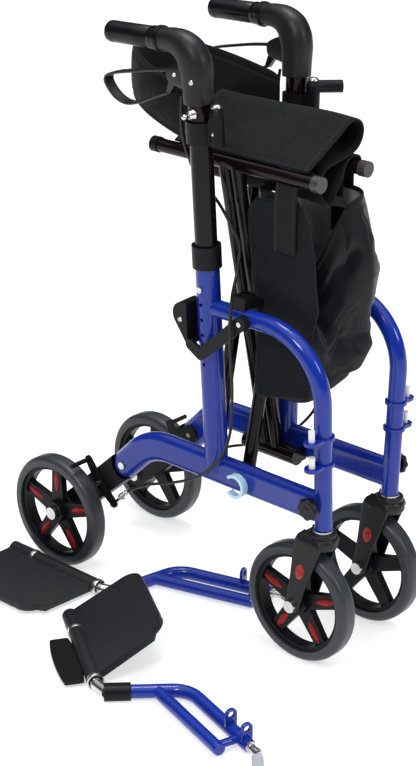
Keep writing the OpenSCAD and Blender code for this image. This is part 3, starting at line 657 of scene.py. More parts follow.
@dataclass(frozen=True)
class Finish:
    """One finish: its colour and gloss, and the texture that breaks it up.

    The pitch and the relief of the texture are millimetres.
    """

    name: str
    colour: Colour
    rough: float
    texture: Texture
    pitch: float
    relief: float
    metal: float = 0.0
    coat: float = 0.0
    coat_rough: float = 0.06
    sheen: float = 0.0
    sheen_rough: float = 0.4
    shine: float = 0.5
    mottle: float = 0.2
    mottle_scale: float = 14.0
    gloss_swing: float = 0.5
    scuff: float = 0.0
    scuff_colour: Colour = (0.3, 0.3, 0.3)
    scuff_scale: float = 38.0
    scuff_rough: float = 0.2
    stitch_rows: Pair | None = None
    stitch_colour: Colour = (0.05, 0.05, 0.055)
    stitch_pitch: float = 4.5
    stitch_wide: float = 0.7
    stitch_high: float = 1.4

    def build(self) -> bpy.types.Material:
        """Makes the material: mottled colour, textured gloss, scuffs, stitches and a bump.

        Returns:
            The material, made on first use.
        """
        made = bpy.data.materials.get(self.name)
        if made:
            return made
        made = bpy.data.materials.new(self.name)
        made.use_nodes = True
        n = Nodes(made.node_tree)
        shader = n.add("ShaderNodeBsdfPrincipled")
        n.join(shader.outputs["BSDF"], n.add("ShaderNodeOutputMaterial").inputs["Surface"])
        shader.inputs["Metallic"].default_value = self.metal
        shader.inputs["Coat Weight"].default_value = self.coat
        shader.inputs["Coat Roughness"].default_value = self.coat_rough
        shader.inputs["Sheen Weight"].default_value = self.sheen
        shader.inputs["Sheen Roughness"].default_value = self.sheen_rough
        shader.inputs["Specular IOR Level"].default_value = self.shine
        spots = self.place(n, "mottle", mottle_group, Scale=self.mottle_scale, Amount=self.mottle)
        colour = self.tint(n, spots.outputs["Shade"])
        name = "relief_" + self.texture.value
        relief = self.place(n, name, lambda: relief_group(self.texture), Pitch=self.pitch)
        height = relief.outputs["Height"]
        swing = n.math("SUBTRACT", spots.outputs["Fine"], 0.5)
        gloss = n.math("MULTIPLY_ADD", swing, self.gloss_swing * self.rough, self.rough)
        if self.scuff:
            marks = self.place(n, "scuff", scuff_group, Scale=self.scuff_scale, Share=self.scuff)
            rub = marks.outputs["Mask"]
            colour = self.mixed(n, rub, colour, self.scuff_colour)
            gloss = n.math("ADD", gloss, n.math("MULTIPLY", rub, self.scuff_rough))
        if self.stitch_rows:
            first, second = self.stitch_rows
            sizes = {"Row": first, "Second": second, "Pitch": self.stitch_pitch, "Wide": self.stitch_wide}
            sewn = self.place(n, "stitch", stitch_group, **sizes).outputs["Mask"]
            colour = self.mixed(n, sewn, colour, self.stitch_colour)
            height = n.math("ADD", height, n.math("MULTIPLY", sewn, self.stitch_high))
        n.join(colour, shader.inputs["Base Color"])
        n.join(gloss, shader.inputs["Roughness"])
        bump = n.add("ShaderNodeBump")
        bump.inputs["Strength"].default_value = 1.0
        bump.inputs["Distance"].default_value = self.relief * MM
        n.join(height, bump.inputs["Height"])
        n.join(bump.outputs["Normal"], shader.inputs["Normal"])
        return made

    @staticmethod
    def place(
        n: Nodes, name: str, maker: Callable[[], Tree], **values: float,
    ) -> Node:
        """Places a shared group with its own values.

        Args:
            n: the material's nodes.
            name: the group's name.
            maker: what builds it on first use.
            values: its inputs by name.

        Returns:
            The group's node.
        """
        node = n.add("ShaderNodeGroup")
        node.node_tree = Groups.get(name, maker)
        for key, value in values.items():
            node.inputs[key].default_value = value
        return node

    def tint(self, n: Nodes, factor: Socket) -> Socket:
        """The finish's colour made lighter and darker by a factor.

        Args:
            n: the material's nodes.
            factor: the factor.

        Returns:
            The changed colour.
        """
        mix = n.add("ShaderNodeVectorMath", operation="SCALE")
        mix.inputs[0].default_value = self.colour
        n.join(factor, mix.inputs["Scale"])
        return mix.outputs[0]

    @staticmethod
    def mixed(
        n: Nodes, mask: Socket, under: Socket, over: Colour,
    ) -> Socket:
        """A colour laid over another through a mask.

        Args:
            n: the material's nodes.
            mask: where the upper colour shows.
            under: the lower colour.
            over: the upper colour.

        Returns:
            The mixed colour.
        """
        mix = n.add("ShaderNodeMix", data_type="RGBA")
        factor, first, second, result = mix.inputs[0], mix.inputs[6], mix.inputs[7], mix.outputs[2]
        n.join(mask, factor)
        n.join(under, first)
        second.default_value = (*over, 1.0)
        return result


BLUE_PAINT = Finish(
    "gloss_blue_paint", (0.007, 0.027, 0.280), 0.18, Texture.PEEL, 3.0, 0.02, coat=0.3, mottle=0.10,
    shine=0.24,
)
BLACK_PAINT = Finish(
    "black_tube_paint", (0.006, 0.003, 0.004), 0.14, Texture.PEEL, 3.0, 0.02, coat=0.1, mottle=0.25,
    shine=0.14,
)
BLACK_PLASTIC = Finish(
    "black_moulding", (0.0060, 0.0060, 0.0072), 0.40, Texture.GRAIN, 1.1, 0.025, mottle=0.2,
    scuff=0.25, scuff_colour=(0.015, 0.015, 0.016), shine=0.15,
)
LEVER_PAINT = Finish(
    "satin_lever_paint", (0.0095, 0.0092, 0.0100), 0.34, Texture.PEEL, 2.0, 0.03, mottle=0.2,
    shine=0.5,
)
GLOSS_PLASTIC = Finish(
    "black_gloss_moulding", (0.0085, 0.0085, 0.0100), 0.42, Texture.GRAIN, 0.9, 0.05, mottle=0.2,
    shine=0.3,
)
PLATE_PLASTIC = Finish(
    "footplate_moulding", (0.0075, 0.0085, 0.0115), 0.50, Texture.TREAD, 4.0, 0.45, mottle=0.2,
    scuff=0.3, scuff_colour=(0.03, 0.03, 0.032), shine=0.32,
)
GREY_PLASTIC = Finish("grey_cap_plastic", (0.036, 0.032, 0.032), 0.40, Texture.GRAIN, 1.0, 0.04)
ZINC = Finish(
    "bright_zinc", (0.62, 0.62, 0.60), 0.26, Texture.BRUSHED, 0.6, 0.02, metal=1.0, mottle=0.15,
    scuff=0.3, scuff_colour=(0.42, 0.40, 0.36),
)
TYRE_RUBBER = Finish(
    "grey_tyre_rubber", (0.030, 0.034, 0.042), 0.36, Texture.RUBBER, 1.6, 0.06, mottle=0.25,
    scuff=0.4, scuff_colour=(0.10, 0.105, 0.11), shine=0.4,
)
GRIP_RUBBER = Finish(
    "soft_grip_rubber", (0.0055, 0.0052, 0.0060), 0.24, Texture.RUBBER, 1.2, 0.015, mottle=0.2,
    shine=0.22,
)
CABLE_SKIN = Finish("cable_skin", (0.007, 0.007, 0.008), 0.34, Texture.RUBBER, 1.0, 0.03, shine=0.3)
PALE_BLUE = Finish("pale_blue_plastic", (0.50, 0.74, 0.88), 0.28, Texture.PEEL, 2.0, 0.03, mottle=0.06)
CLEAR_WHITE = Finish("milky_plastic", (0.36, 0.39, 0.42), 0.20, Texture.PEEL, 2.5, 0.04, mottle=0.08)
WHITE_NYLON = Finish("white_nylon", (0.80, 0.81, 0.80), 0.36, Texture.GRAIN, 1.0, 0.03, mottle=0.06)
RED_INSERT = Finish(
    "red_insert", (0.260, 0.003, 0.006), 0.30, Texture.PEEL, 2.0, 0.03, mottle=0.15, shine=0.2,
)
RED_LENS = Finish(
    "red_reflector", (0.360, 0.003, 0.006), 0.16, Texture.TREAD, 2.6, 0.35, coat=0.2, mottle=0.1,
    shine=0.3,
)
SEAT_CLOTH = Finish(
    "seat_cloth", (0.0055, 0.0058, 0.0075), 0.82, Texture.WEAVE, 1.3, 0.16, sheen=0.05, mottle=0.35,
    stitch_rows=(8.0, 258.0), stitch_colour=(0.02, 0.02, 0.022), shine=0.16,
)
BAND_CLOTH = Finish(
    "band_cloth", (0.0060, 0.0060, 0.0075), 0.80, Texture.WEAVE, 1.6, 0.20, sheen=0.05, mottle=0.35,
    stitch_rows=(14.0, 152.0), stitch_colour=(0.02, 0.02, 0.022), shine=0.16,
)
BAG_CLOTH = Finish(
    "bag_cloth", (0.0048, 0.0053, 0.0080), 0.44, Texture.CRUMPLE, 140.0, 10.0, sheen=0.03,
    mottle=0.4, shine=0.28,
)
PANEL_CLOTH = Finish(
    "panel_cloth", (0.0105, 0.0110, 0.0140), 0.78, Texture.WEAVE, 1.1, 0.14, sheen=0.05, mottle=0.35,
    shine=0.1,
)
# The lining's grey is its own colour made much lighter: partly real grey, partly painted highlight and
# painted light against the shade inside the bag
LINING_GREY_AND_PAINTED_HIGHLIGHT = Finish("grey_lining_painted_highlight", (0.42, 0.425, 0.44), 0.26, Texture.WEAVE, 0.8, 0.05, coat=0.5, mottle=0.5)
WEBBING = Finish(
    "black_webbing", (0.0060, 0.0060, 0.0065), 0.66, Texture.WEBBING, 2.6, 0.30, sheen=0.04,
    mottle=0.3, stitch_rows=(4.0, 37.0), stitch_colour=(0.02, 0.02, 0.02), shine=0.2,
)


# The setting


@dataclass
class Studio:
    """Camera, floor and lights; places are in chair millimetres."""

    camera_at: Point = (1835.0, -2123.0, 1581.0)
    azimuth: float = 42.31
    elevation: float = 22.93
    focal_pixels: float = 1893.65
    image_height: float = 766.0
    sensor: float = 36.0
    far_end: float = 60000.0
    aim: Point = (0.0, -60.0, 480.0)
    floor_half: float = 30000.0
    floor_z: float = -0.5
    floor_grey: float = 0.55
    floor_rough: float = 0.7
    floor_glow: float = 0.62
    ceiling: Four = (0.5, 0.95, 0.05, 1.6)

    def build(self) -> None:
        """Places the camera where the photograph was taken from, then the floor and the lights."""
        data = bpy.data.cameras.new("camera")
        data.sensor_width = self.sensor
        data.lens = self.focal_pixels * self.sensor / self.image_height
        data.clip_end = self.far_end * MM
        camera = bpy.data.objects.new("camera", data)
        camera.location = metres(self.camera_at)
        camera.rotation_euler = (math.radians(90.0 - self.elevation), 0.0, math.radians(self.azimuth))
        bpy.context.scene.collection.objects.link(camera)
        bpy.context.scene.camera = camera
        self.floor()
        self.lamp("key", (900.0, -2700.0, 3000.0), 800.0, 48.0)
        self.lamp("fill", (3100.0, 700.0, 2300.0), 900.0, 30.0)
        self.lamp("top", (-300.0, 300.0, 4200.0), 1400.0, 70.0)
        self.room()
        bpy.context.scene.view_settings.view_transform = "Standard"

    def room(self) -> None:
        """Makes a room with dark walls and a bright ceiling, white where the camera sees it."""
        world = bpy.data.worlds.new("studio_room")
        world.use_nodes = True
        n = Nodes(world.node_tree)
        back = n.add("ShaderNodeBackground")
        n.join(back.outputs[0], n.add("ShaderNodeOutputWorld").inputs["Surface"])
        back.inputs["Color"].default_value = (1.0, 1.0, 1.0, 1.0)
        place = n.add("ShaderNodeTexCoord")
        split = n.add("ShaderNodeSeparateXYZ")
        n.join(place.outputs["Generated"], split.inputs[0])
        ramp = n.add("ShaderNodeMapRange")
        ramp.interpolation_type = "SMOOTHSTEP"
        for name, value in zip(("From Min", "From Max", "To Min", "To Max"), self.ceiling):
            ramp.inputs[name].default_value = value
        n.join(split.outputs["Z"], ramp.inputs["Value"])
        seen = n.add("ShaderNodeLightPath").outputs["Is Camera Ray"]
        n.join(n.math("MAXIMUM", ramp.outputs["Result"], seen), back.inputs["Strength"])
        bpy.context.scene.world = world

    def floor(self) -> None:
        """Lays the pale floor a hair under the wheels."""
        h = self.floor_half
        mesh = bpy.data.meshes.new("floor")
        corners = [(x, y, self.floor_z) for x, y in ((-h, -h), (h, -h), (h, h), (-h, h))]
        mesh.from_pydata(metres(corners), [], [(0, 1, 2, 3)])
        floor = bpy.data.objects.new("floor", mesh)
        made = bpy.data.materials.new("pale_floor")
        made.use_nodes = True
        shader = made.node_tree.nodes["Principled BSDF"]
        shader.inputs["Base Color"].default_value = (*[self.floor_grey] * 3, 1.0)
        shader.inputs["Roughness"].default_value = self.floor_rough
        shader.inputs["Emission Color"].default_value = (1.0, 1.0, 1.0, 1.0)
        shader.inputs["Emission Strength"].default_value = self.floor_glow
        mesh.materials.append(made)
        bpy.context.scene.collection.objects.link(floor)

    def lamp(self, name: str, at: Point, size: float, power: float) -> None:
        """Hangs a soft square lamp that points at the chair's middle.

        Args:
            name: the lamp's name.
            at: its place.
            size: its side.
            power: its watts.
        """
        data = bpy.data.lights.new(name, "AREA")
        data.size = size * MM
        data.energy = power
        lamp = bpy.data.objects.new(name, data)
        lamp.location = metres(at)
        run = Vector(metres(self.aim)) - lamp.location
        lamp.rotation_euler = run.to_track_quat("-Z", "Y").to_euler()
        bpy.context.scene.collection.objects.link(lamp)


# Soft parts


def ripple(s: Array, t: Array, waves: Sequence[Four]) -> Array:
    """A sum of plane waves, for the unevenness of cloth.

    Args:
        s: first coordinate in millimetres.
        t: second coordinate in millimetres.
        waves: height, turns per metre along s and along t, and phase of each wave.

    Returns:
        The summed height in millimetres.
    """
    return sum(h * np.sin(2 * np.pi * (a * s + b * t) * MM + p) for h, a, b, p in waves)


def dress(obj: Piece, finish: Finish) -> Piece:
    """Gives a piece its material.

    Args:
        obj: the piece.
        finish: its finish.

    Returns:
        The same piece.
    """
    obj.data.materials.append(finish.build())
    LOG.info("made %s", obj.name)
    return obj


def mount(
    skin: Skin, name: str, finish: Finish, body: str, replaced: str = "",
) -> Piece:
    """Makes a stiff piece and puts it on its body.

    Args:
        skin: the piece's surfaces.
        name: its name.
        finish: its finish.
        body: the body that carries it.
        replaced: the solid that it stands in for, or nothing.

    Returns:
        The piece.
    """
    obj = dress(skin.build(name), finish)
    if replaced:
        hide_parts(replaced)
    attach(obj, body)
    return obj


def sharpen(obj: Piece, angle: float = 32.0) -> Piece:
    """Shades a piece smooth up to its sharp edges.

    Args:
        obj: the piece.
        angle: the least angle of a sharp edge, in degrees.

    Returns:
        The same piece.
    """
    obj.data.polygons.foreach_set("use_smooth", np.ones(len(obj.data.polygons), bool))
    weld = obj.modifiers.new("weld", "WELD")
    weld.merge_threshold = WELD
    split = obj.modifiers.new("sharp", "EDGE_SPLIT")
    split.split_angle = math.radians(angle)
    return obj


@dataclass
class SeatCloth:
    """The folded seat: slack that stands up in a roll from the right rail, and a loop between the rails."""

    back_x: float = -115.0
    long: float = 266.0
    rows: int = 54
    cols: int = 96
    thick: float = 3.2
    held: float = 26.0
    waves: tuple[Four, ...] = (
        (0.9, 2.0, 5.0, 0.4), (0.6, 5.0, -7.0, 1.3), (0.4, 9.0, 3.0, 2.2), (0.8, 1.0, -2.6, 4.0))
    slack_anchor: Point = (0.0, -49.0, 794.0)
    slack_run: Point = (0.0, 0.87, 0.49)
    near: Point = (0.0, -50.0, 770.0)
    far: Point = (0.0, 55.0, 770.0)
    slack: tuple[Pair, ...] = (
        (-57, 787), (-50, 790.5), (-40, 797), (-20, 808), (20, 832), (39, 843), (54, 846),
        (68, 838), (73, 824), (67, 808), (52, 797), (20, 790), (-8, 785), (-20, 778), (-25, 767))
    loop: tuple[Pair, ...] = (
        (-46, 783), (-36, 776), (-29, 762), (-24, 745), (-14, 731), (-2, 728), (10, 738), (24, 763),
        (36, 783), (46, 789), (56, 790), (66, 786), (71, 774), (70, 762))

    def strip(
        self, name: str, profile: Sequence[Pair], swell: float,
    ) -> tuple[Piece, float]:
        """Carries a profile along the rails, with slow waves in it.

        Args:
            name: the piece's name.
            profile: points across the chair, y and z.
            swell: height of the waves.

        Returns:
            The cloth and its length across.
        """
        line = even_path(smooth_path(profile, 8), self.cols)
        s = path_length(line)
        x = np.linspace(0.0, self.long, self.rows)
        along = unit(np.gradient(line, axis=0))
        normal = np.stack([-along[:, 1], along[:, 0]], -1)
        free = np.sin(np.pi * np.clip((s - self.held) / (s[-1] - 2 * self.held), 0, 1)) ** 0.7
        lift = swell * ripple(s[:, None], x[None], self.waves) * free[:, None]
        place = line[:, None] + normal[:, None] * lift[..., None]
        grid = np.concatenate([np.broadcast_to(self.back_x + x, place.shape[:2])[..., None], place], -1)
        uv = np.stack(np.meshgrid(s, x, indexing="ij"), -1)
        obj = Skin().add(grid, uv=uv).build(name)
        return thicken(obj, self.thick), float(s[-1])

    def build(self) -> None:
        """Makes both strips and puts the slack on the near seat rail's body."""
        slack, across = self.strip("seat_slack", self.slack, 1.0)
        dress(slack, SEAT_CLOTH)
        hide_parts("seat_sling")
        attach(slack, "seat_near")
        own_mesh(slack)
        loop, across = self.strip("seat_loop", self.loop, 0.7)
        dress(loop, SEAT_CLOTH)
        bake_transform(loop)


def fade(x: Array, start: float, end: float) -> Array:
    """A smooth step from 0 at start to 1 at end."""
    t = np.clip((np.asarray(x, float) - start) / (end - start), 0.0, 1.0)
    return t * t * (3 - 2 * t)


def bell(x: Array, middle: float, wide: float) -> Array:
    """A bell of height 1 about a middle."""
    return np.exp(-(((x - middle) / wide) ** 2))


def crease(a: Array, b: Array, ends: Four, wide: float) -> Array:
    """A soft valley along a line: a bell of the distance to the stretch between two points.

    Args:
        a: first coordinate of the surface's points.
        b: second coordinate.
        ends: the stretch's first point and last point.
        wide: the bell's width.

    Returns:
        1 on the stretch, falling to 0 beside it.
    """
    p, q = np.array(ends[:2]), np.array(ends[2:])
    run = q - p
    t = np.clip(((a - p[0]) * run[0] + (b - p[1]) * run[1]) / (run @ run), 0, 1)
    away = (a - p[0] - t * run[0]) ** 2 + (b - p[1] - t * run[1]) ** 2
    return np.exp(-away / wide**2) * np.sin(np.pi * np.clip(t, 0.06, 0.94)) ** 0.4


@dataclass
class Bag:
    """The bag under the seat: a stiff near panel, a full pouch behind it and a mouth that gapes in front."""

    top: float = 738.0
    rows: int = 84
    cols: int = 150
    wall: float = 3.5
    back_x: float = 34.0
    near_y: float = -50.0
    loop_x: float = 98.0
    loop_w: float = 41.0
    loop_r: float = 12.6
    loop_thick: float = 1.8
    loop_outer: Row = (-114.0, -90.0, -60.0, -30.0, -10.0)
    loop_inner: Row = (-10.0, -30.0, -48.0)
    rail_y: float = 55.28
    rail_z: float = 773.0
    span_near: Point = (0.0, -48.0, 600.0)
    span_far: Point = (0.0, 52.0, 600.0)
    tape: Pair = (4.0, 2.6)
    foot_z: float = 440.0
    floor_z: float = 412.0
    floor_rise: float = 34.0
    floor_y: Pair = (-40.0, 70.0)
    floor_puff: float = 6.0
    panel_set: float = 14.0
    step_y: Pair = (-22.0, 34.0)
    gap_deep: float = 26.0
    gap_y: Pair = (-20.0, 11.0)
    gap_z: Pair = (560.0, 640.0)
    mouth_deep: float = 122.0
    mouth_y: Pair = (-12.0, 19.0)
    rim_sag: float = 10.0
    back_sag: float = 16.0
    girth: float = 80.0
    pouch_waves: tuple[Four, ...] = (
        (1.0, 3.0, 3.6, 0.7), (0.8, 7.0, -4.0, 2.0), (0.6, 12.0, 7.0, 0.2), (0.7, 2.0, 6.0, 1.1))
    panel_top: Pair = (729.0, 744.0)
    panel_low: Pair = (403.0, 428.0)
    panel_y: float = -57.0
    panel_lean: float = 5.0
    panel_half: float = 5.2
    panel_waves: tuple[Four, ...] = ((0.7, 4.0, 3.0, 0.3), (0.5, 9.0, -4.0, 1.0), (0.35, 15.0, 6.0, 2.0))
    piping: float = 0.9
    heights: Row = (430, 450, 470, 500, 545, 575, 620, 660, 700, 740)
    pouch_front: Row = (150, 174, 196, 208, 204, 206, 211, 208, 200, 184)
    pouch_far: Row = (40, 52, 62, 70, 70, 73, 79, 77, 70, 63)
    panel_front: Row = (160, 161, 161, 162, 168, 177, 171, 168, 159, 138)
    panel_back: Row = (51, 52, 53, 56, 57, 55, 46, 40, 37, 44)
    creases: tuple[tuple[float, float, float, float, float, float], ...] = (
        (194.0, 655.0, 138.0, 572.0, 16.0, 10.0), (124.0, 440.0, 190.0, 520.0, 14.0, 11.0),
        (166.0, 700.0, 162.0, 600.0, 10.0, 8.0), (194.0, 562.0, 170.0, 462.0, 14.0, 9.0),
        (186.0, 545.0, 138.0, 566.0, 12.0, 7.0), (188.0, 724.0, 194.0, 640.0, 8.0, 8.0),
        (180.0, 620.0, 150.0, 520.0, 9.0, 7.0), (150.0, 500.0, 184.0, 452.0, 8.0, 7.0))

    def at(self, z: Array, values: Sequence[float]) -> Array:
        """A size at a height, from the table of heights."""
        return np.interp(z, self.heights, values)

    def shell(self, inset: float) -> Array:
        """The pouch's wall as a loft of squared ovals.

        Each level is a superellipse between the front, back, near and far sizes of its height. The
        front steps out from the near panel to the pouch, and creases are bells along straight lines.

        Args:
            inset: distance inside the outer face.

        Returns:
            Rows from the rim to the floor by columns round the bag.
        """
        t = np.linspace(0.0, 1.0, self.rows)[:, None]
        turn = np.linspace(0.0, 2 * np.pi, self.cols, endpoint=False)[None]
        ex = signed_power(np.cos(turn), 0.62)
        ey = signed_power(np.sin(turn), 0.62)
        z0 = self.top + (self.foot_z - self.top) * t
        far = self.at(z0, self.pouch_far)
        y = (far + self.near_y) / 2 + ((far - self.near_y) / 2 - inset) * ey
        near_front = self.at(z0, self.panel_front) - self.panel_set
        front = near_front + (self.at(z0, self.pouch_front) - near_front) * fade(y, *self.step_y)
        front = front - self.gap_deep * bell(y, *self.gap_y) * fade(z0, *self.gap_z)
        x = (front + self.back_x) / 2 + ((front - self.back_x) / 2 - inset) * ex
        sag = (self.rim_sag + self.back_sag * fade(-ex, 0.0, 0.8)) * (1 - np.abs(ey)) ** 2
        dip = self.mouth_deep * bell(y, *self.mouth_y) * fade(ex, 0.1, 0.9) + sag
        floor = self.floor_z + self.floor_rise * fade(y, *self.floor_y)
        z = (self.top - dip) * (1 - t) + (floor + inset) * t
        full = np.sin(np.pi * np.clip(0.06 + 0.9 * t, 0, 1))
        puff = ripple(turn * self.girth, z, self.pouch_waves) * full * fade(y, -44.0, 10.0)
        for xa, za, xb, zb, deep, wide in self.creases:
            fold = crease(x, z, (xa, za, xb, zb), wide)
            puff = puff - deep * fold * fade(y, -16.0, 14.0) * fade(ex, -0.2, 0.4)
        return np.stack([x + puff * ex, y + puff * ey, z + 0 * turn], -1)

    def closed(self, inset: float) -> Array:
        """The wall with its floor drawn in to the middle.

        Args:
            inset: distance inside the outer face.

        Returns:
            Rows from the rim to the floor's middle by columns round the bag.
        """
        wall = self.shell(inset)
        last = wall[-1]
        shares = np.linspace(0.0, 1.0, 9)[1:, None, None]
        under = last * (1 - shares) + last.mean(0) * shares
        under[..., 2] -= self.floor_puff * np.sin(np.pi * shares[..., 0] / 2)
        return np.concatenate([wall, under])

    def panel(self) -> Array:
        """The near panel: a flat pillow between its front and back edges, crowned in the middle."""
        t = np.linspace(0.0, 1.0, 70)[:, None]
        turn = np.linspace(0.0, 2 * np.pi, 72, endpoint=False)[None]
        cy = np.sin(turn)
        u = 0.5 + 0.5 * signed_power(np.cos(turn), 0.45)
        high, low = (back + (front - back) * u for back, front in (self.panel_top, self.panel_low))
        z = high + (low - high) * t
        round_top = 1 - 0.17 * (1 - fade(t, 0.0, 0.075)) ** 2
        round_low = 1 - 0.05 * (1 - fade(1 - t, 0.0, 0.05)) ** 2
        back, front = self.at(z, self.panel_back), self.at(z, self.panel_front)
        x = (back + front) / 2 + (front - back) * (u - 0.5) * round_top * round_low
        thin = np.clip(np.minimum(t, 1 - t) / 0.012, 0.25, 1.0)
        lean = self.panel_lean * fade(t, 0.5, 1.0)
        y = self.panel_y + lean + self.panel_half * thin * signed_power(cy, 0.5)
        groove = self.piping * bell(np.abs(u - 0.5), 0.476, 0.012) * np.sign(cy)
        y = y + (ripple(x, z, self.panel_waves) - groove) * np.clip(np.abs(cy) * 3, 0, 1)
        return np.stack([x, y, z + 0 * turn], -1)

    def build(self) -> None:
        """Makes the pouch, its lining, the bound rim, the near panel and the webbing over the rails."""
        outer = Skin().add(self.closed(0.0), round_v=True).build("bag_cloth")
        pouch = dress(outer, BAG_CLOTH)
        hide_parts("bag")
        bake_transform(pouch)
        inner = Skin().add(self.closed(self.wall), round_v=True, flip=True).build("bag_lining")
        # The lining's finish is lightened as a painted highlight against the shade inside the bag
        lining = dress(inner, LINING_GREY_AND_PAINTED_HIGHLIGHT)
        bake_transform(lining)
        rim = (self.shell(0.0)[0] + self.shell(self.wall)[0]) / 2
        ring = np.concatenate([rim, rim[:1]])
        tape = sweep(ring, *self.tape, sides=10, hint=UP)[:-1].transpose(1, 0, 2)
        edge = dress(Skin().add(tape, round_v=True).build("bag_rim"), WEBBING)
        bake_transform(edge)
        pillow = Skin().add(self.panel(), round_v=True, ends=True).build("bag_panel")
        panel = dress(pillow, PANEL_CLOTH)
        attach(panel, "seat_near")
        self.loops()

    def loops(self) -> None:
        """Folds a length of webbing over each seat rail and down onto the bag."""
        r, count, cols = self.loop_r, 70, 7
        turn = np.linspace(0.0, np.pi, 17)
        over = np.stack([-r * np.cos(turn), r * np.sin(turn)], -1)
        outer = np.array([(-r, z) for z in self.loop_outer])
        inner = np.array([(r, z) for z in self.loop_inner])
        turn = np.linspace(-0.75 * np.pi, 0.55 * np.pi, 17)
        under = np.stack([r * np.cos(turn), r * np.sin(turn)], -1)
        profiles = {-1.0: np.concatenate([outer[:-1], under]), 1.0: np.concatenate([outer, over, inner])}
        for sign, body in ((-1.0, "seat_near"), (1.0, "seat_far")):
            line = profiles[sign] * np.array([-sign, 1.0]) + np.array([sign * self.rail_y, self.rail_z])
            path = even_path(line, count)
            across = np.linspace(0.0, self.loop_w, cols)
            strip = np.broadcast_to(path[:, None], (count, cols, 2))
            x = np.broadcast_to(self.loop_x + across, (count, cols))
            grid = np.concatenate([x[..., None], strip], -1)
            uv = np.stack(np.meshgrid(path_length(path), across, indexing="ij"), -1)
            name = "bag_webbing_" + ("near" if sign < 0 else "far")
            strap = thicken(Skin().add(grid, uv=uv).build(name), self.loop_thick)
            dress(strap, WEBBING)
            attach(strap, body)
            if sign > 0:
                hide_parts("bag_far_loops")


@dataclass
class BackBand:
    """The padded band that runs behind the handles, crowned across and higher at its middle."""

    half_y: float = 92.0
    front: float = -31.5
    bow: float = 236.0
    rise: float = 44.0
    mid_z: float = 838.0
    tall: float = 84.0
    thick: float = 11.0
    rows: int = 120
    cols: int = 40
    end_reach: float = 4.0
    seam_at: float = 0.78
    seam_wide: float = 0.06
    seam_deep: float = 0.42
    puff: float = 0.10
    waves: tuple[Four, ...] = ((0.5, 6.0, 9.0, 0.3), (0.4, 13.0, -6.0, 1.9), (0.3, 21.0, 4.0, 0.9))

    def build(self) -> None:
        """Carries a lens-shaped section round a half ellipse, with a seam near each edge."""
        t = np.linspace(0.0, 1.0, self.rows)
        a = np.pi * t
        deep = self.bow + self.front
        x = self.front - deep * np.sin(a)
        mid = np.stack([x, -self.half_y * np.cos(a), self.mid_z + self.rise * np.sin(a)], -1)
        out = unit(np.stack([-self.half_y * np.sin(a), -deep * np.cos(a), 0 * a], -1))
        turn = np.linspace(0.0, 2 * np.pi, self.cols, endpoint=False)
        h = signed_power(np.cos(turn), 0.75)
        b = signed_power(np.sin(turn), 0.8)
        seam = 1.0 - self.seam_deep * bell(np.abs(h), self.seam_at, self.seam_wide)
        s = path_length(mid)
        puff = 1.0 + self.puff * ripple(s[:, None], h[None] * self.tall / 2, self.waves)
        ends = np.clip(np.minimum(t, 1 - t) / 0.02, 0.45, 1.0)[:, None]
        tall = self.tall / 2 * (0.93 + 0.07 * np.sin(a))[:, None] * (0.94 + 0.06 * ends)
        grid = mid[:, None] + out[:, None] * (self.thick / 2 * puff * ends * (b * seam)[None])[..., None]
        grid = grid + np.array([0.0, 0.0, 1.0]) * (tall * h[None])[..., None]
        around = np.linspace(0.0, 2 * self.tall + self.thick, self.cols + 1)
        uv = np.stack(np.meshgrid(s, around, indexing="ij"), -1)
        pad = Skin().add(grid, round_v=True, ends=True, uv=uv).build("backrest_pad")
        band = dress(pad, BAND_CLOTH)
        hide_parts("backrest_band", "band_end")
        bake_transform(band)


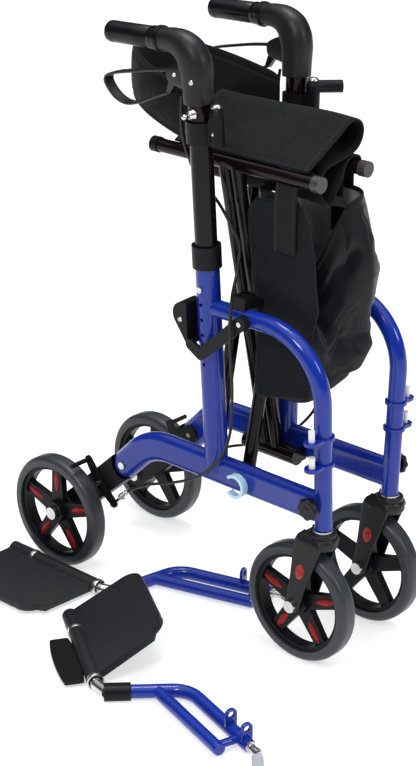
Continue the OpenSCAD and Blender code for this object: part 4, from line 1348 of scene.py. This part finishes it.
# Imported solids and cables


@dataclass
class Solids:
    """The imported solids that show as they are, each with its finish."""

    nodes: dict[str, Piece]
    pin_reach: float = 8.0
    pins_z: float = 330.0
    bumper_x: float = 211.0
    bumper_reach: float = 20.0
    plate_edge: float = 1.8
    plate_angle: float = 50.0

    def finishes(self) -> dict[str, Finish]:
        """Each node's finish by its name, the sides' names without their side."""
        return {
            "frame": BLUE_PAINT, "handle_tube": BLACK_PAINT, "pivot_tube": BLACK_PAINT,
            "brace_inner": BLACK_PAINT, "brace_outer": BLACK_PAINT, "post_collar": BLACK_PLASTIC,
            "axle_carrier": BLACK_PLASTIC, "back_bracket": BLACK_PLASTIC, "brake_arm": BLACK_PLASTIC,
            "footplate": PLATE_PLASTIC, "front_rim": BLACK_PLASTIC, "rear_rim": BLACK_PLASTIC,
            "lock_lever": BLACK_PLASTIC, "seat_saddle": BLACK_PLASTIC, "front_tyre": TYRE_RUBBER,
            "rear_tyre": TYRE_RUBBER, "caster_bolts": ZINC, "frame_fittings": ZINC,
            "cross_bolt": ZINC, "inner_rail_caps": GREY_PLASTIC,
            "outer_rail_caps": GREY_PLASTIC, "rail_clip": PALE_BLUE,
        }

    def build(self) -> None:
        """Gives each solid its finish, and the small parts of a node another."""
        table = self.finishes()
        for name, obj in self.nodes.items():
            finish = table.get(name.removeprefix("right_").removeprefix("left_"))
            if finish is None:
                continue
            obj.data.materials.clear()
            obj.data.materials.append(finish.build())
            if name.endswith("footplate"):
                self.ease(obj)
            sharpen(obj)
        for side in Side:
            name = side.word + "_frame_fittings"
            x, _, z = self.centres(name).T
            low = z < self.pins_z
            self.paint(name, WHITE_NYLON, (np.abs(x - LEG_X) < self.pin_reach) & ~low)
            self.paint(name, BLACK_PLASTIC, (np.abs(x - self.bumper_x) < self.bumper_reach) & low)
        for name in ("inner_rail_caps", "outer_rail_caps"):
            self.paint(name, BLACK_PLASTIC, self.centres(name)[:, 0] < 0.0)

    def ease(self, obj: Piece) -> None:
        """Rounds a plate's edges a little.

        Args:
            obj: the plate.
        """
        weld = obj.modifiers.new("join", "WELD")
        weld.merge_threshold = WELD
        bevel = obj.modifiers.new("ease", "BEVEL")
        bevel.width = self.plate_edge * MM
        bevel.segments = 3
        bevel.limit_method = "ANGLE"
        bevel.angle_limit = math.radians(self.plate_angle)

    def centres(self, name: str) -> Array:
        """The middles of a node's faces.

        Args:
            name: the node.

        Returns:
            A row for each face, in chair millimetres.
        """
        faces = self.nodes[name].data.polygons
        flat = np.zeros(3 * len(faces))
        faces.foreach_get("center", flat)
        return flat.reshape(-1, 3) / MM + ORIGIN

    def paint(self, name: str, finish: Finish, where: Array) -> None:
        """Gives some faces of a node another finish.

        Args:
            name: the node.
            finish: the other finish.
            where: which faces it goes on.
        """
        mesh = self.nodes[name].data
        mesh.materials.append(finish.build())
        index = np.zeros(len(mesh.polygons), np.int32)
        mesh.polygons.foreach_get("material_index", index)
        index[where] = len(mesh.materials) - 1
        mesh.polygons.foreach_set("material_index", index)
        mesh.update()


@dataclass
class BrakeCable:
    """One brake cable, from the handle's elbow over the frame to the brake arm."""

    side: Side
    radius: float = 2.5
    sides: int = 14
    route: tuple[Point, ...] = (
        (-47.3, 0, 605.5), (-49, 0, 590), (-50, 0, 555), (-46, 6, 515), (-36, 20, 475), (-14, 33, 440),
        (8, 34, 412), (38, 24, 383), (58, -4, 355), (64, -24, 320), (66, -32, 279), (66, -34, 240),
        (64, -30, 160), (54, -26, 90), (32, -24, 40), (-4, -23, 0), (-40, -21, -26), (-90, -20, -50),
        (-140, -20, -70), (-184, -21, -96), (-217, -22.2, -127.6))
    adjuster: tuple[Pair, ...] = (
        (2.6, 14.0), (3.4, 14.4), (3.4, 19.0), (6.2, 19.4), (6.2, 23.4), (4.2, 23.8), (4.2, 27.0),
        (5.4, 27.4), (5.4, 37.0), (4.0, 38.6), (3.6, 43.0), (2.6, 43.6))
    frame_end: Point = (58.0, -4.0, 355.0)
    handle_end: Point = (-50.0, 0.0, 580.0)

    def put(self, points: Array) -> Array:
        """Points counted from the right lower rail, as points of the chair on this side."""
        return on_side(leaned(points), self.side)

    def build(self) -> None:
        """Makes the cable's skin, and the bright adjusting barrel at its lower end."""
        word = self.side.word
        path = self.put(smooth_path(self.route, 10))
        tube = sweep(path, self.radius, self.radius, self.sides, hint=(0.3, 1.0, 0.2))
        cable = dress(Skin().solid(tube).build(word + "_cable_skin"), CABLE_SKIN)
        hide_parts(word + "_brake_cable")
        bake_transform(cable)
        barrel = Skin().solid(turned(self.adjuster, path[-1], path[-8] - path[-1], 24))
        sharpen(mount(barrel, word + "_cable_adjuster", ZINC, word + "_frame"))


# Hard details


def lens(
    centre: Array, along: Array, across: Array, half: Point, point: float = 0.7,
) -> Array:
    """A leaf-shaped boss: an ellipse carried along a short line, its size a power of a sine.

    Args:
        centre: the boss's middle.
        along: direction of its length.
        across: direction of its width.
        half: half length, half width and half height.
        point: power of the sine; less is blunter.

    Returns:
        The grid of the boss.
    """
    t = np.linspace(-1.0, 1.0, 21)
    path = np.asarray(centre, float) + np.outer(t * half[0], unit(np.asarray(along, float)))
    size = np.maximum(np.cos(t * np.pi / 2), 0.02) ** point
    return sweep(path, half[1] * size, half[2] * size, sides=20, hint=across)


def dome(at: Sequence[float], axis: Sequence[float], r: float, high: float) -> Array:
    """A domed bolt head with a washer's step, turned about its axis."""
    profile = [
        (TIP, high), (0.45 * r, 0.94 * high), (0.72 * r, 0.7 * high), (0.78 * r, 0.3 * high),
        (r, 0.28 * high), (r, -0.2 * high),
    ]
    return turned(profile, at, axis, 24)


@dataclass
class HandleTop:
    """The moulded elbow at the top of a handle, its screws and the height stud under it."""

    side: Side
    grip_z: float = 688.0
    path: tuple[Pair, ...] = (
        (-1.0, -87.0), (-1.0, -72.0), (-1.0, -57.0), (-1.5, -43.0), (-5.0, -27.0), (-13.0, -13.0),
        (-27.0, -3.5), (-43.0, 0.2), (-57.0, 0.4), (-68.0, 0.0))
    wide: Row = (22.0, 22.3, 22.6, 23.0, 23.2, 22.6, 20.8, 18.8, 17.6, 17.2)
    deep: Row = (22.2, 22.6, 23.4, 25.0, 26.0, 25.0, 21.8, 19.0, 17.6, 17.2)
    lobe: tuple[Pair, ...] = ((-12.0, -48.0), (-28.0, -49.0), (-42.0, -50.0), (-55.0, -51.0))
    lobe_wide: Row = (14.0, 13.5, 12.5, 10.0)
    lobe_tall: Row = (24.0, 21.0, 17.0, 11.0)
    screws: tuple[Four, ...] = (
        (6.0, -22.2, 637.0, 4.2), (-36.0, -13.2, 641.0, 3.6), (33.0, -9.2, 560.0, 3.4))
    screw_high: float = 2.6
    stud_at: Point = (2.0, -17.4, 588.0)
    stud: tuple[Pair, ...] = (
        (TIP, 22.0), (3.4, 21.4), (4.4, 19.0), (4.4, 12.0), (3.6, 11.4), (3.6, 8.6), (6.4, 8.0),
        (6.4, 2.6), (8.6, 2.2), (8.6, 0.0))
    ferrule_at: Point = (33.0, 0.0, 600.0)
    ferrule: tuple[Pair, ...] = ((TIP, 3.6), (5.0, 3.4), (7.4, 2.2), (8.6, 0.0), (8.6, -2.0))
    grip_x: float = -63.0
    grip_sharp: float = 40.0
    droop: float = 1.0
    grip_profile: tuple[Pair, ...] = (
        (12.0, 3.6), (18.8, 3.6), (19.9, 4.6), (20.0, 8.0), (19.8, 11.0), (18.8, 12.4), (17.9, 13.2),
        (17.8, 24.0), (17.2, 25.0), (16.2, 25.6), (16.2, 27.0), (16.8, 27.8), (16.7, 60.0), (16.5, 99.0),
        (15.8, 99.8), (15.8, 101.0), (16.6, 101.8), (16.6, 109.0), (15.8, 112.2), (13.6, 114.4),
        (8.0, 115.6), (TIP, 116.0))

    def put(self, grid: Array) -> Array:
        """Points beside the right post, as points of the chair on this side."""
        return on_side(post_line(grid), self.side)

    def plane(self, points: Sequence[Pair], steps: int) -> Array:
        """A smooth path in the handle's plane, from points that count up from the grip."""
        return upright(smooth_path([(x, self.grip_z + z) for x, z in points], steps))

    def build(self) -> None:
        """Makes the elbow with its lobe, then the bright screws, stud and ferrule, then the grip."""
        word = self.side.word
        body = tapered(self.plane(self.path, 6), self.wide, self.deep, sides=44, power=2.2)
        ear = tapered(self.plane(self.lobe, 6), self.lobe_wide, self.lobe_tall, sides=32, power=3.0)
        skin = Skin().solid(self.put(body)).solid(self.put(ear))
        name = word + "_elbow_moulding"
        mount(skin, name, GLOSS_PLASTIC, word + "_handle", word + "_elbow")
        bright = Skin()
        for x, y, z, r in self.screws:
            bright.solid(self.put(dome((x, y, z), OUT, r, self.screw_high)))
        bright.solid(self.put(turned(self.stud, self.stud_at, OUT, 24)))
        bright.solid(self.put(turned(self.ferrule, self.ferrule_at, UP, 24)))
        mount(bright, word + "_handle_screws", ZINC, word + "_handle")
        self.grip()

    def grip(self) -> None:
        """Makes the rubber grip with its flange, a groove at either end and a rounded tip."""
        word = self.side.word
        a = math.radians(self.droop)
        axis = (-math.cos(a), 0.0, -math.sin(a))
        rubber = turned(self.grip_profile, (self.grip_x, 0.0, self.grip_z), axis, 56)
        skin = Skin().add(self.put(rubber), round_v=True)
        name = word + "_grip_rubber"
        grip = mount(skin, name, GRIP_RUBBER, word + "_handle", word + "_grip")
        sharpen(grip, self.grip_sharp)


@dataclass
class BrakeLever:
    """A loop brake lever of flat strap under a grip, with the yoke that holds it on its pin."""

    side: Side
    pivot: Pair = (-43.0, 638.0)
    top: Pair = (-59.0, 642.0)
    low: Pair = (-59.0, 608.0)
    loop: tuple[Pair, ...] = (
        (-92.0, 638.0), (-126.0, 632.0), (-164.0, 624.5), (-183.0, 618.5), (-188.5, 610.5),
        (-184.5, 601.0), (-174.0, 590.0), (-160.0, 582.0), (-142.0, 579.5), (-116.0, 586.0),
        (-88.0, 597.0))
    strap_half: Row = (6.0, 8.4, 9.8, 9.8, 9.8, 8.4, 6.0)
    strap_thick: Row = (2.2, 2.2)
    yoke_half: Row = (5.6, 5.6)
    yoke_thick: Row = (9.0, 6.4, 3.6)

    def bar(
        self, points: Sequence[Pair], half: Sequence[float], deep: Sequence[float], steps: int,
    ) -> Array:
        """A flat bar along points of the handle's plane.

        Args:
            points: the bar's centre line.
            half: half its width across the chair, at even marks along the line.
            deep: half its thickness, at even marks along the line.
            steps: points on each stretch.

        Returns:
            The grid of the bar, in its place on the chair.
        """
        line = upright(smooth_path(points, steps))
        return on_side(post_line(tapered(line, half, deep, sides=28, power=6.0)), self.side)

    def build(self) -> None:
        """Makes the strap's loop and the two arms of the yoke."""
        word = self.side.word
        strap = [self.top, *self.loop, self.low]
        skin = Skin().solid(self.bar(strap, self.strap_half, self.strap_thick, 8))
        for end in (self.top, self.low):
            arm = [self.pivot, tuple(np.add(self.pivot, end) / 2), end]
            skin.solid(self.bar(arm, self.yoke_half, self.yoke_thick, 5))
        name = word + "_lever_strap"
        mount(skin, name, LEVER_PAINT, word + "_lever", word + "_brake_lever")


@dataclass
class LockLever:
    """The bright rivet through the paddle of a parking lock."""

    side: Side
    at: Point = (-43.0, -28.0, 256.0)
    radius: float = 4.4
    high: float = 2.4

    def build(self) -> None:
        """Makes the rivet's head on the paddle's outer face."""
        head = on_side(leaned(dome(self.at, OUT, self.radius, self.high)), self.side)
        word = self.side.word
        mount(Skin().solid(head), word + "_lock_rivet", ZINC, word + "_lock")


@dataclass
class StarKnob:
    """The lobed head of the screw knob at the front end of a lower rail."""

    side: Side
    at: Point = (211.0, -16.3, 8.0)
    lobes: int = 8
    depth: float = 0.06
    flat_r: float = 8.0
    rim_r: float = 16.0
    profile: tuple[Pair, ...] = (
        (TIP, 18.2), (5.0, 18.0), (6.4, 16.9), (9.0, 16.7), (13.0, 17.2), (16.4, 16.4), (17.8, 13.4),
        (17.2, 8.8), (13.0, 7.2))

    def build(self) -> None:
        """Turns the profile outwards, its rim waved into lobes."""
        turn = np.linspace(0.0, 2 * np.pi, 96, endpoint=False)
        p = np.array(self.profile)
        rim = fade(p[:, 0], self.flat_r, self.rim_r)[:, None]
        r = p[:, :1] * (1 + self.depth * rim * np.cos(self.lobes * turn))
        head = np.stack([r * np.cos(turn), np.broadcast_to(-p[:, 1:], r.shape), r * np.sin(turn)], -1)
        skin = Skin().solid(on_side(leaned(head + np.array(self.at)), self.side))
        word = self.side.word
        mount(skin, word + "_star_knob", GLOSS_PLASTIC, word + "_frame")


@dataclass
class Caster:
    """A front fork with its reflectors, broad at the crown and narrow at the axle."""

    side: Side
    crown_z: float = 210.0
    blade: tuple[Point, ...] = (
        (212.0, 13.0, 229.0), (209.0, 20.5, 221.0), (205.0, 22.5, 208.0), (199.0, 22.5, 184.0),
        (191.0, 22.5, 150.0), (184.0, 22.5, 120.0), (179.5, 22.5, 100.0), (177.5, 22.5, 88.5))
    blade_wide: Row = (22.0, 25.0, 25.0, 21.5, 17.0, 14.5, 13.5, 7.0)
    blade_thick: Row = (5.0, 4.6, 3.7, 3.5, 3.5, 3.5, 3.5, 3.0)
    crown: tuple[Pair, ...] = (
        (8.1, 26.0), (20.0, 26.0), (21.6, 24.6), (21.8, 20.0), (20.4, 19.2), (20.4, 18.0), (22.8, 17.0),
        (24.0, 12.0), (24.6, 4.0), (23.0, 0.0), (8.1, -1.0))
    bridge_x: float = 205.0
    bridge_z: float = 218.5
    bridge_y: float = 25.8
    bridge_half: Pair = (24.0, 8.0)
    mark_at: Point = (195.0, 25.6, 166.0)
    mark_half: Point = (14.5, 8.6, 2.2)
    mark_along: Point = (-0.22, 0.0, -0.975)
    mark_across: Point = (0.975, 0.0, -0.22)

    def put(self, grid: Array) -> Array:
        """Points of a wheel's own plane, as points of the chair on this side."""
        return on_side(np.asarray(grid) + np.array([0.0, -HALF_TRACK, 0.0]), self.side)

    def build(self) -> None:
        """Makes the fork's crown, bridge and blades, and a reflector on each blade."""
        word = self.side.word
        ahead = (1.0, 0.0, 0.0)
        crown = turned(self.crown, (LEG_X, 0.0, self.crown_z), UP, 48)
        skin = Skin().add(self.put(crown), round_v=True)
        y = np.linspace(-self.bridge_y, self.bridge_y, 25)
        span = np.stack([np.full(25, self.bridge_x), y, np.full(25, self.bridge_z)], -1)
        arch = np.clip(1 - (np.abs(y) / self.bridge_y) ** 8, 0.5, 1.0)
        wide, thick = self.bridge_half
        skin.solid(self.put(sweep(span, wide * arch, thick * arch, sides=32, power=4.0, hint=ahead)))
        lenses = Skin()
        for sign in (-1.0, 1.0):
            line = smooth_path([(x, sign * y, z) for x, y, z in self.blade], 6)
            blade = tapered(line, self.blade_wide, self.blade_thick, sides=32, power=3.2, hint=ahead)
            skin.solid(self.put(blade))
            at = np.array(self.mark_at) * np.array([1.0, sign, 1.0])
            lenses.solid(self.put(lens(at, self.mark_along, self.mark_across, self.mark_half, 0.5)))
        name = word + "_fork_moulding"
        mount(skin, name, GLOSS_PLASTIC, word + "_caster", word + "_caster_fork")
        mount(lenses, word + "_fork_reflectors", RED_LENS, word + "_caster")


@dataclass
class WheelTrim:
    """The red inlays on the outer face of one wheel's spokes."""

    body: str
    centre: Point
    out: float
    spokes: int = 5
    face: float = 6.2
    middle: float = 55.0
    half: Point = (20.0, 6.0, 1.8)

    def build(self) -> None:
        """Lays a leaf on each spoke, round the wheel from the top."""
        skin = Skin()
        for k in range(self.spokes):
            a = math.radians(90.0 + 360.0 * k / self.spokes)
            along = np.array([math.cos(a), 0.0, math.sin(a)])
            across = np.array([-math.sin(a), 0.0, math.cos(a)])
            at = np.array(self.centre) + self.middle * along + np.array([0.0, self.out * self.face, 0.0])
            skin.solid(lens(at, along, across, self.half))
        mount(skin, self.body + "_inlays", RED_INSERT, self.body)


@dataclass
class Footrest:
    """One loose footrest's hanger of bent tube, with its strut, ears, sleeve, bright collars and latch."""

    side: Side
    at: Pair
    turn: float
    flap: bool = False
    height: float = 13.0
    hinge: float = 235.0
    start: Pair = (259.0, 10.0)
    run: float = 100.0
    run_dir: float = 78.0
    leg: float = 150.0
    leg_dir: float = 16.0
    bend_r: float = 45.0
    tube_r: float = 11.0
    strut_r: float = 10.2
    strut_from: float = 78.0
    strut_off: float = 43.0
    strut_back: float = 14.0
    link_r: float = 6.5
    link_back: float = 12.0
    ear_gap: float = 44.0
    ear_back: float = 10.0
    ear_rise: float = 25.0
    ear_foot: float = 4.0
    ear_r: float = 10.0
    ear_half: float = 2.5
    hole_r: float = 5.3
    sleeve_ends: Pair = (-4.0, 38.0)
    sleeve_r: float = 13.6
    flap_ends: Pair = (82.0, 214.0)
    flap_at: Pair = (-31.0, 9.0)
    flap_half: Pair = (21.0, 3.2)
    corner_r: float = 9.6
    corner_back: float = 14.0
    rings_x: Pair = (64.0, 219.0)
    ring: tuple[Pair, ...] = (
        (12.0, 0.0), (13.7, 0.2), (14.1, 1.2), (14.1, 7.8), (13.7, 8.8), (12.0, 9.0))
    pin: tuple[Pair, ...] = (
        (TIP, -2.0), (8.6, -2.0), (8.6, 3.0), (6.0, 3.6), (6.0, 16.0), (7.2, 16.6), (7.2, 24.0),
        (5.0, 25.6), (TIP, 26.0))
    tongue_from: float = 20.0
    tongue_turn: float = 30.0
    tongue_long: float = 48.0
    tongue_half: float = 2.4
    tongue_marks: Row = (0.0, 0.25, 0.6, 0.85, 0.95, 1.0)
    tongue_wide: Row = (6.0, 8.6, 9.0, 7.6, 5.0, 1.5)

    def put(self, grid: Array) -> Array:
        """Points of the footrest as drawn flat, as points of the chair.

        Args:
            grid: points counted from the footrest's own corner.

        Returns:
            The points turned and moved to where the footrest lies.
        """
        a = math.radians(self.turn)
        x, y, z = np.moveaxis(grid, -1, 0)
        over = self.at[0] + x * math.cos(a) - y * math.sin(a)
        along = self.at[1] + x * math.sin(a) + y * math.cos(a)
        return np.stack([over, along, z], -1)

    def ahead(self, p: Sequence[float], angle: float, distance: float) -> Pair:
        """A point some way from another in a direction."""
        a = math.radians(angle)
        return (p[0] + distance * math.cos(a), p[1] + distance * math.sin(a))

    def rod(self, points: Sequence[Pair], r: float, power: float = 2.0) -> Array:
        """A bar with eased ends through points at the tube's height.

        Args:
            points: the bar's centre line.
            r: its radius.
            power: 2 gives a round bar, more gives a squarer one.

        Returns:
            The grid of the bar, in its place on the chair.
        """
        flat = np.array(points, float)
        count = 48
        line = even_path(np.concatenate([flat, np.full((len(flat), 1), self.height)], -1), count)
        ends = np.minimum(np.arange(count), np.arange(count)[::-1])
        size = r * np.interp(ends, (0, 1), (0.9, 1.0))
        return self.put(sweep(line, size, size, sides=32, power=power, hint=UP))

    def corners(self) -> tuple[list[Pair], Pair]:
        """The tube's route from the sleeve through its bend, and the end of its leg."""
        bend = self.ahead(self.start, self.run_dir, self.run)
        centre = self.ahead(bend, self.run_dir - 90.0, self.bend_r)
        angles = np.linspace(self.run_dir + 90.0, self.leg_dir + 90.0, 25)
        arc = [self.ahead(centre, a, self.bend_r) for a in angles]
        last = self.ahead(arc[-1], self.leg_dir, self.leg)
        return [self.start, *arc, last], last

    def ear(self, at: Pair) -> Array:
        """A flat ear that stands on the leg, round its pin hole.

        Args:
            at: the point of the leg that it stands on.

        Returns:
            The grid of the ear, in its place on the chair.
        """
        a = np.linspace(0.0, 2 * np.pi, 64, endpoint=False)
        aside = np.maximum(np.abs(np.cos(a)), 1e-3)
        down = np.maximum(-np.sin(a), 1e-3)
        square = np.minimum(self.ear_r / aside, (self.ear_rise - self.ear_foot) / down)
        reach = np.where(np.sin(a) > 0, self.ear_r, square)
        rows = np.array([(1, -0.7), (0.9, -1), (0, -1), (0, 1), (0.9, 1), (1, 0.7), (1, -0.7)])
        r = self.hole_r + rows[:, :1] * (reach[None] - self.hole_r)
        along = np.array([*self.ahead((0, 0), self.leg_dir, 1.0), 0.0])
        across = np.array([-along[1], along[0], 0.0])
        base = np.array([*at, self.height + self.ear_rise])
        disc = (r * np.cos(a))[..., None] * across + (r * np.sin(a))[..., None] * np.array(UP)
        return self.put(base + disc + rows[:, None, 1:] * self.ear_half * along)

    def hanger(self) -> None:
        """Makes the blue tube with its strut, link and ears."""
        word = self.side.word
        route, last = self.corners()
        skin = Skin().solid(self.rod(route, self.tube_r))
        beside = self.ahead(last, self.leg_dir, -self.strut_back)
        foot = self.ahead(beside, self.leg_dir - 90.0, self.strut_off)
        first = self.ahead(self.start, self.run_dir, self.strut_from)
        skin.solid(self.rod([first, foot], self.strut_r))
        link = self.ahead(foot, self.leg_dir, -self.link_back)
        skin.solid(self.rod([link, self.ahead(link, self.leg_dir + 90.0, self.strut_off)], self.link_r))
        for back in (self.ear_back, self.ear_back + self.ear_gap):
            skin.add(self.ear(self.ahead(last, self.leg_dir, -back)), round_v=True)
        name = word + "_hanger_tube"
        sharpen(mount(skin, name, BLUE_PAINT, word + "_foot", word + "_hanger"))

    def fittings(self) -> None:
        """Makes the black sleeve and flap, the bright corner and collars."""
        word = self.side.word
        ends = [self.ahead(self.start, self.run_dir, reach) for reach in self.sleeve_ends]
        black = Skin().solid(self.rod(ends, self.sleeve_r, power=2.4))
        if self.flap:
            count = 24
            y, z = self.flap_at
            wide, thick = self.flap_half
            line = np.stack([np.linspace(*self.flap_ends, count), np.full(count, y), np.full(count, z)], -1)
            bulge = np.sin(np.linspace(0.35, 2.75, count)) ** 0.3
            black.solid(self.put(sweep(line, wide * bulge, thick, sides=28, power=5.0)))
        name = word + "_hanger_sleeve"
        sharpen(mount(black, name, BLACK_PLASTIC, word + "_foot"))
        corner = [(self.hinge - self.corner_back, 0.0), (self.hinge, 0.0), self.start]
        bright = Skin().solid(self.rod(corner, self.corner_r))
        for x in self.rings_x:
            collar = turned(self.ring, (x, 0.0, self.height), (1, 0, 0), 40)
            bright.add(self.put(collar), round_v=True)
        sharpen(mount(bright, word + "_hinge_collars", ZINC, word + "_foot"))

    def latch(self) -> None:
        """Makes the bright latch pin and its milky thumb tongue."""
        word = self.side.word
        last = self.corners()[1]
        axis = (*self.ahead((0, 0), self.leg_dir, 1.0), 0.0)
        metal = Skin().add(self.put(turned(self.pin, (*last, self.height), axis, 32)), round_v=True)
        sharpen(mount(metal, word + "_latch_pin", ZINC, word + "_latch", word + "_latch"))
        root = self.ahead(last, self.leg_dir, self.tongue_from)
        tip = self.ahead(root, self.leg_dir - self.tongue_turn, self.tongue_long)
        t = np.linspace(0, 1, 24)
        line = np.stack([np.interp(t, (0, 1), (root[k], tip[k])) for k in (0, 1)] + [0 * t + self.height], -1)
        wide = np.interp(t, self.tongue_marks, self.tongue_wide)
        blade = sweep(line, self.tongue_half, wide, sides=24, power=2.6, hint=UP)
        tongue = Skin().solid(self.put(blade))
        mount(tongue, word + "_latch_tongue", CLEAR_WHITE, word + "_latch")

    def build(self) -> None:
        """Makes the hanger, its fittings and the latch."""
        self.hanger()
        self.fittings()
        self.latch()


def main() -> None:
    """Loads the solids, dresses them and builds the pieces round them."""
    logging.basicConfig(level=logging.INFO)
    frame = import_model()
    Studio().build()
    for side in Side:
        BrakeCable(side).build()
    Solids(frame["nodes"]).build()
    SeatCloth().build()
    Bag().build()
    BackBand().build()
    for side in Side:
        HandleTop(side).build()
        BrakeLever(side).build()
        LockLever(side).build()
        StarKnob(side).build()
        Caster(side).build()
        y = -side.value * HALF_TRACK
        front = (FRONT_AXLE_X, y, WHEEL_R)
        rear = (REAR_AXLE_X, y - side.value * REAR_AXLE_OUT, WHEEL_R)
        WheelTrim(side.word + "_front_wheel", front, -side.value).build()
        WheelTrim(side.word + "_rear_wheel", rear, -side.value).build()
    Footrest(Side.RIGHT, (-179.0, -254.0), -33.0, flap=True).build()
    Footrest(Side.LEFT, (-425.0, -163.0), 0.0).build()


if __name__ == "__main__":
    main()
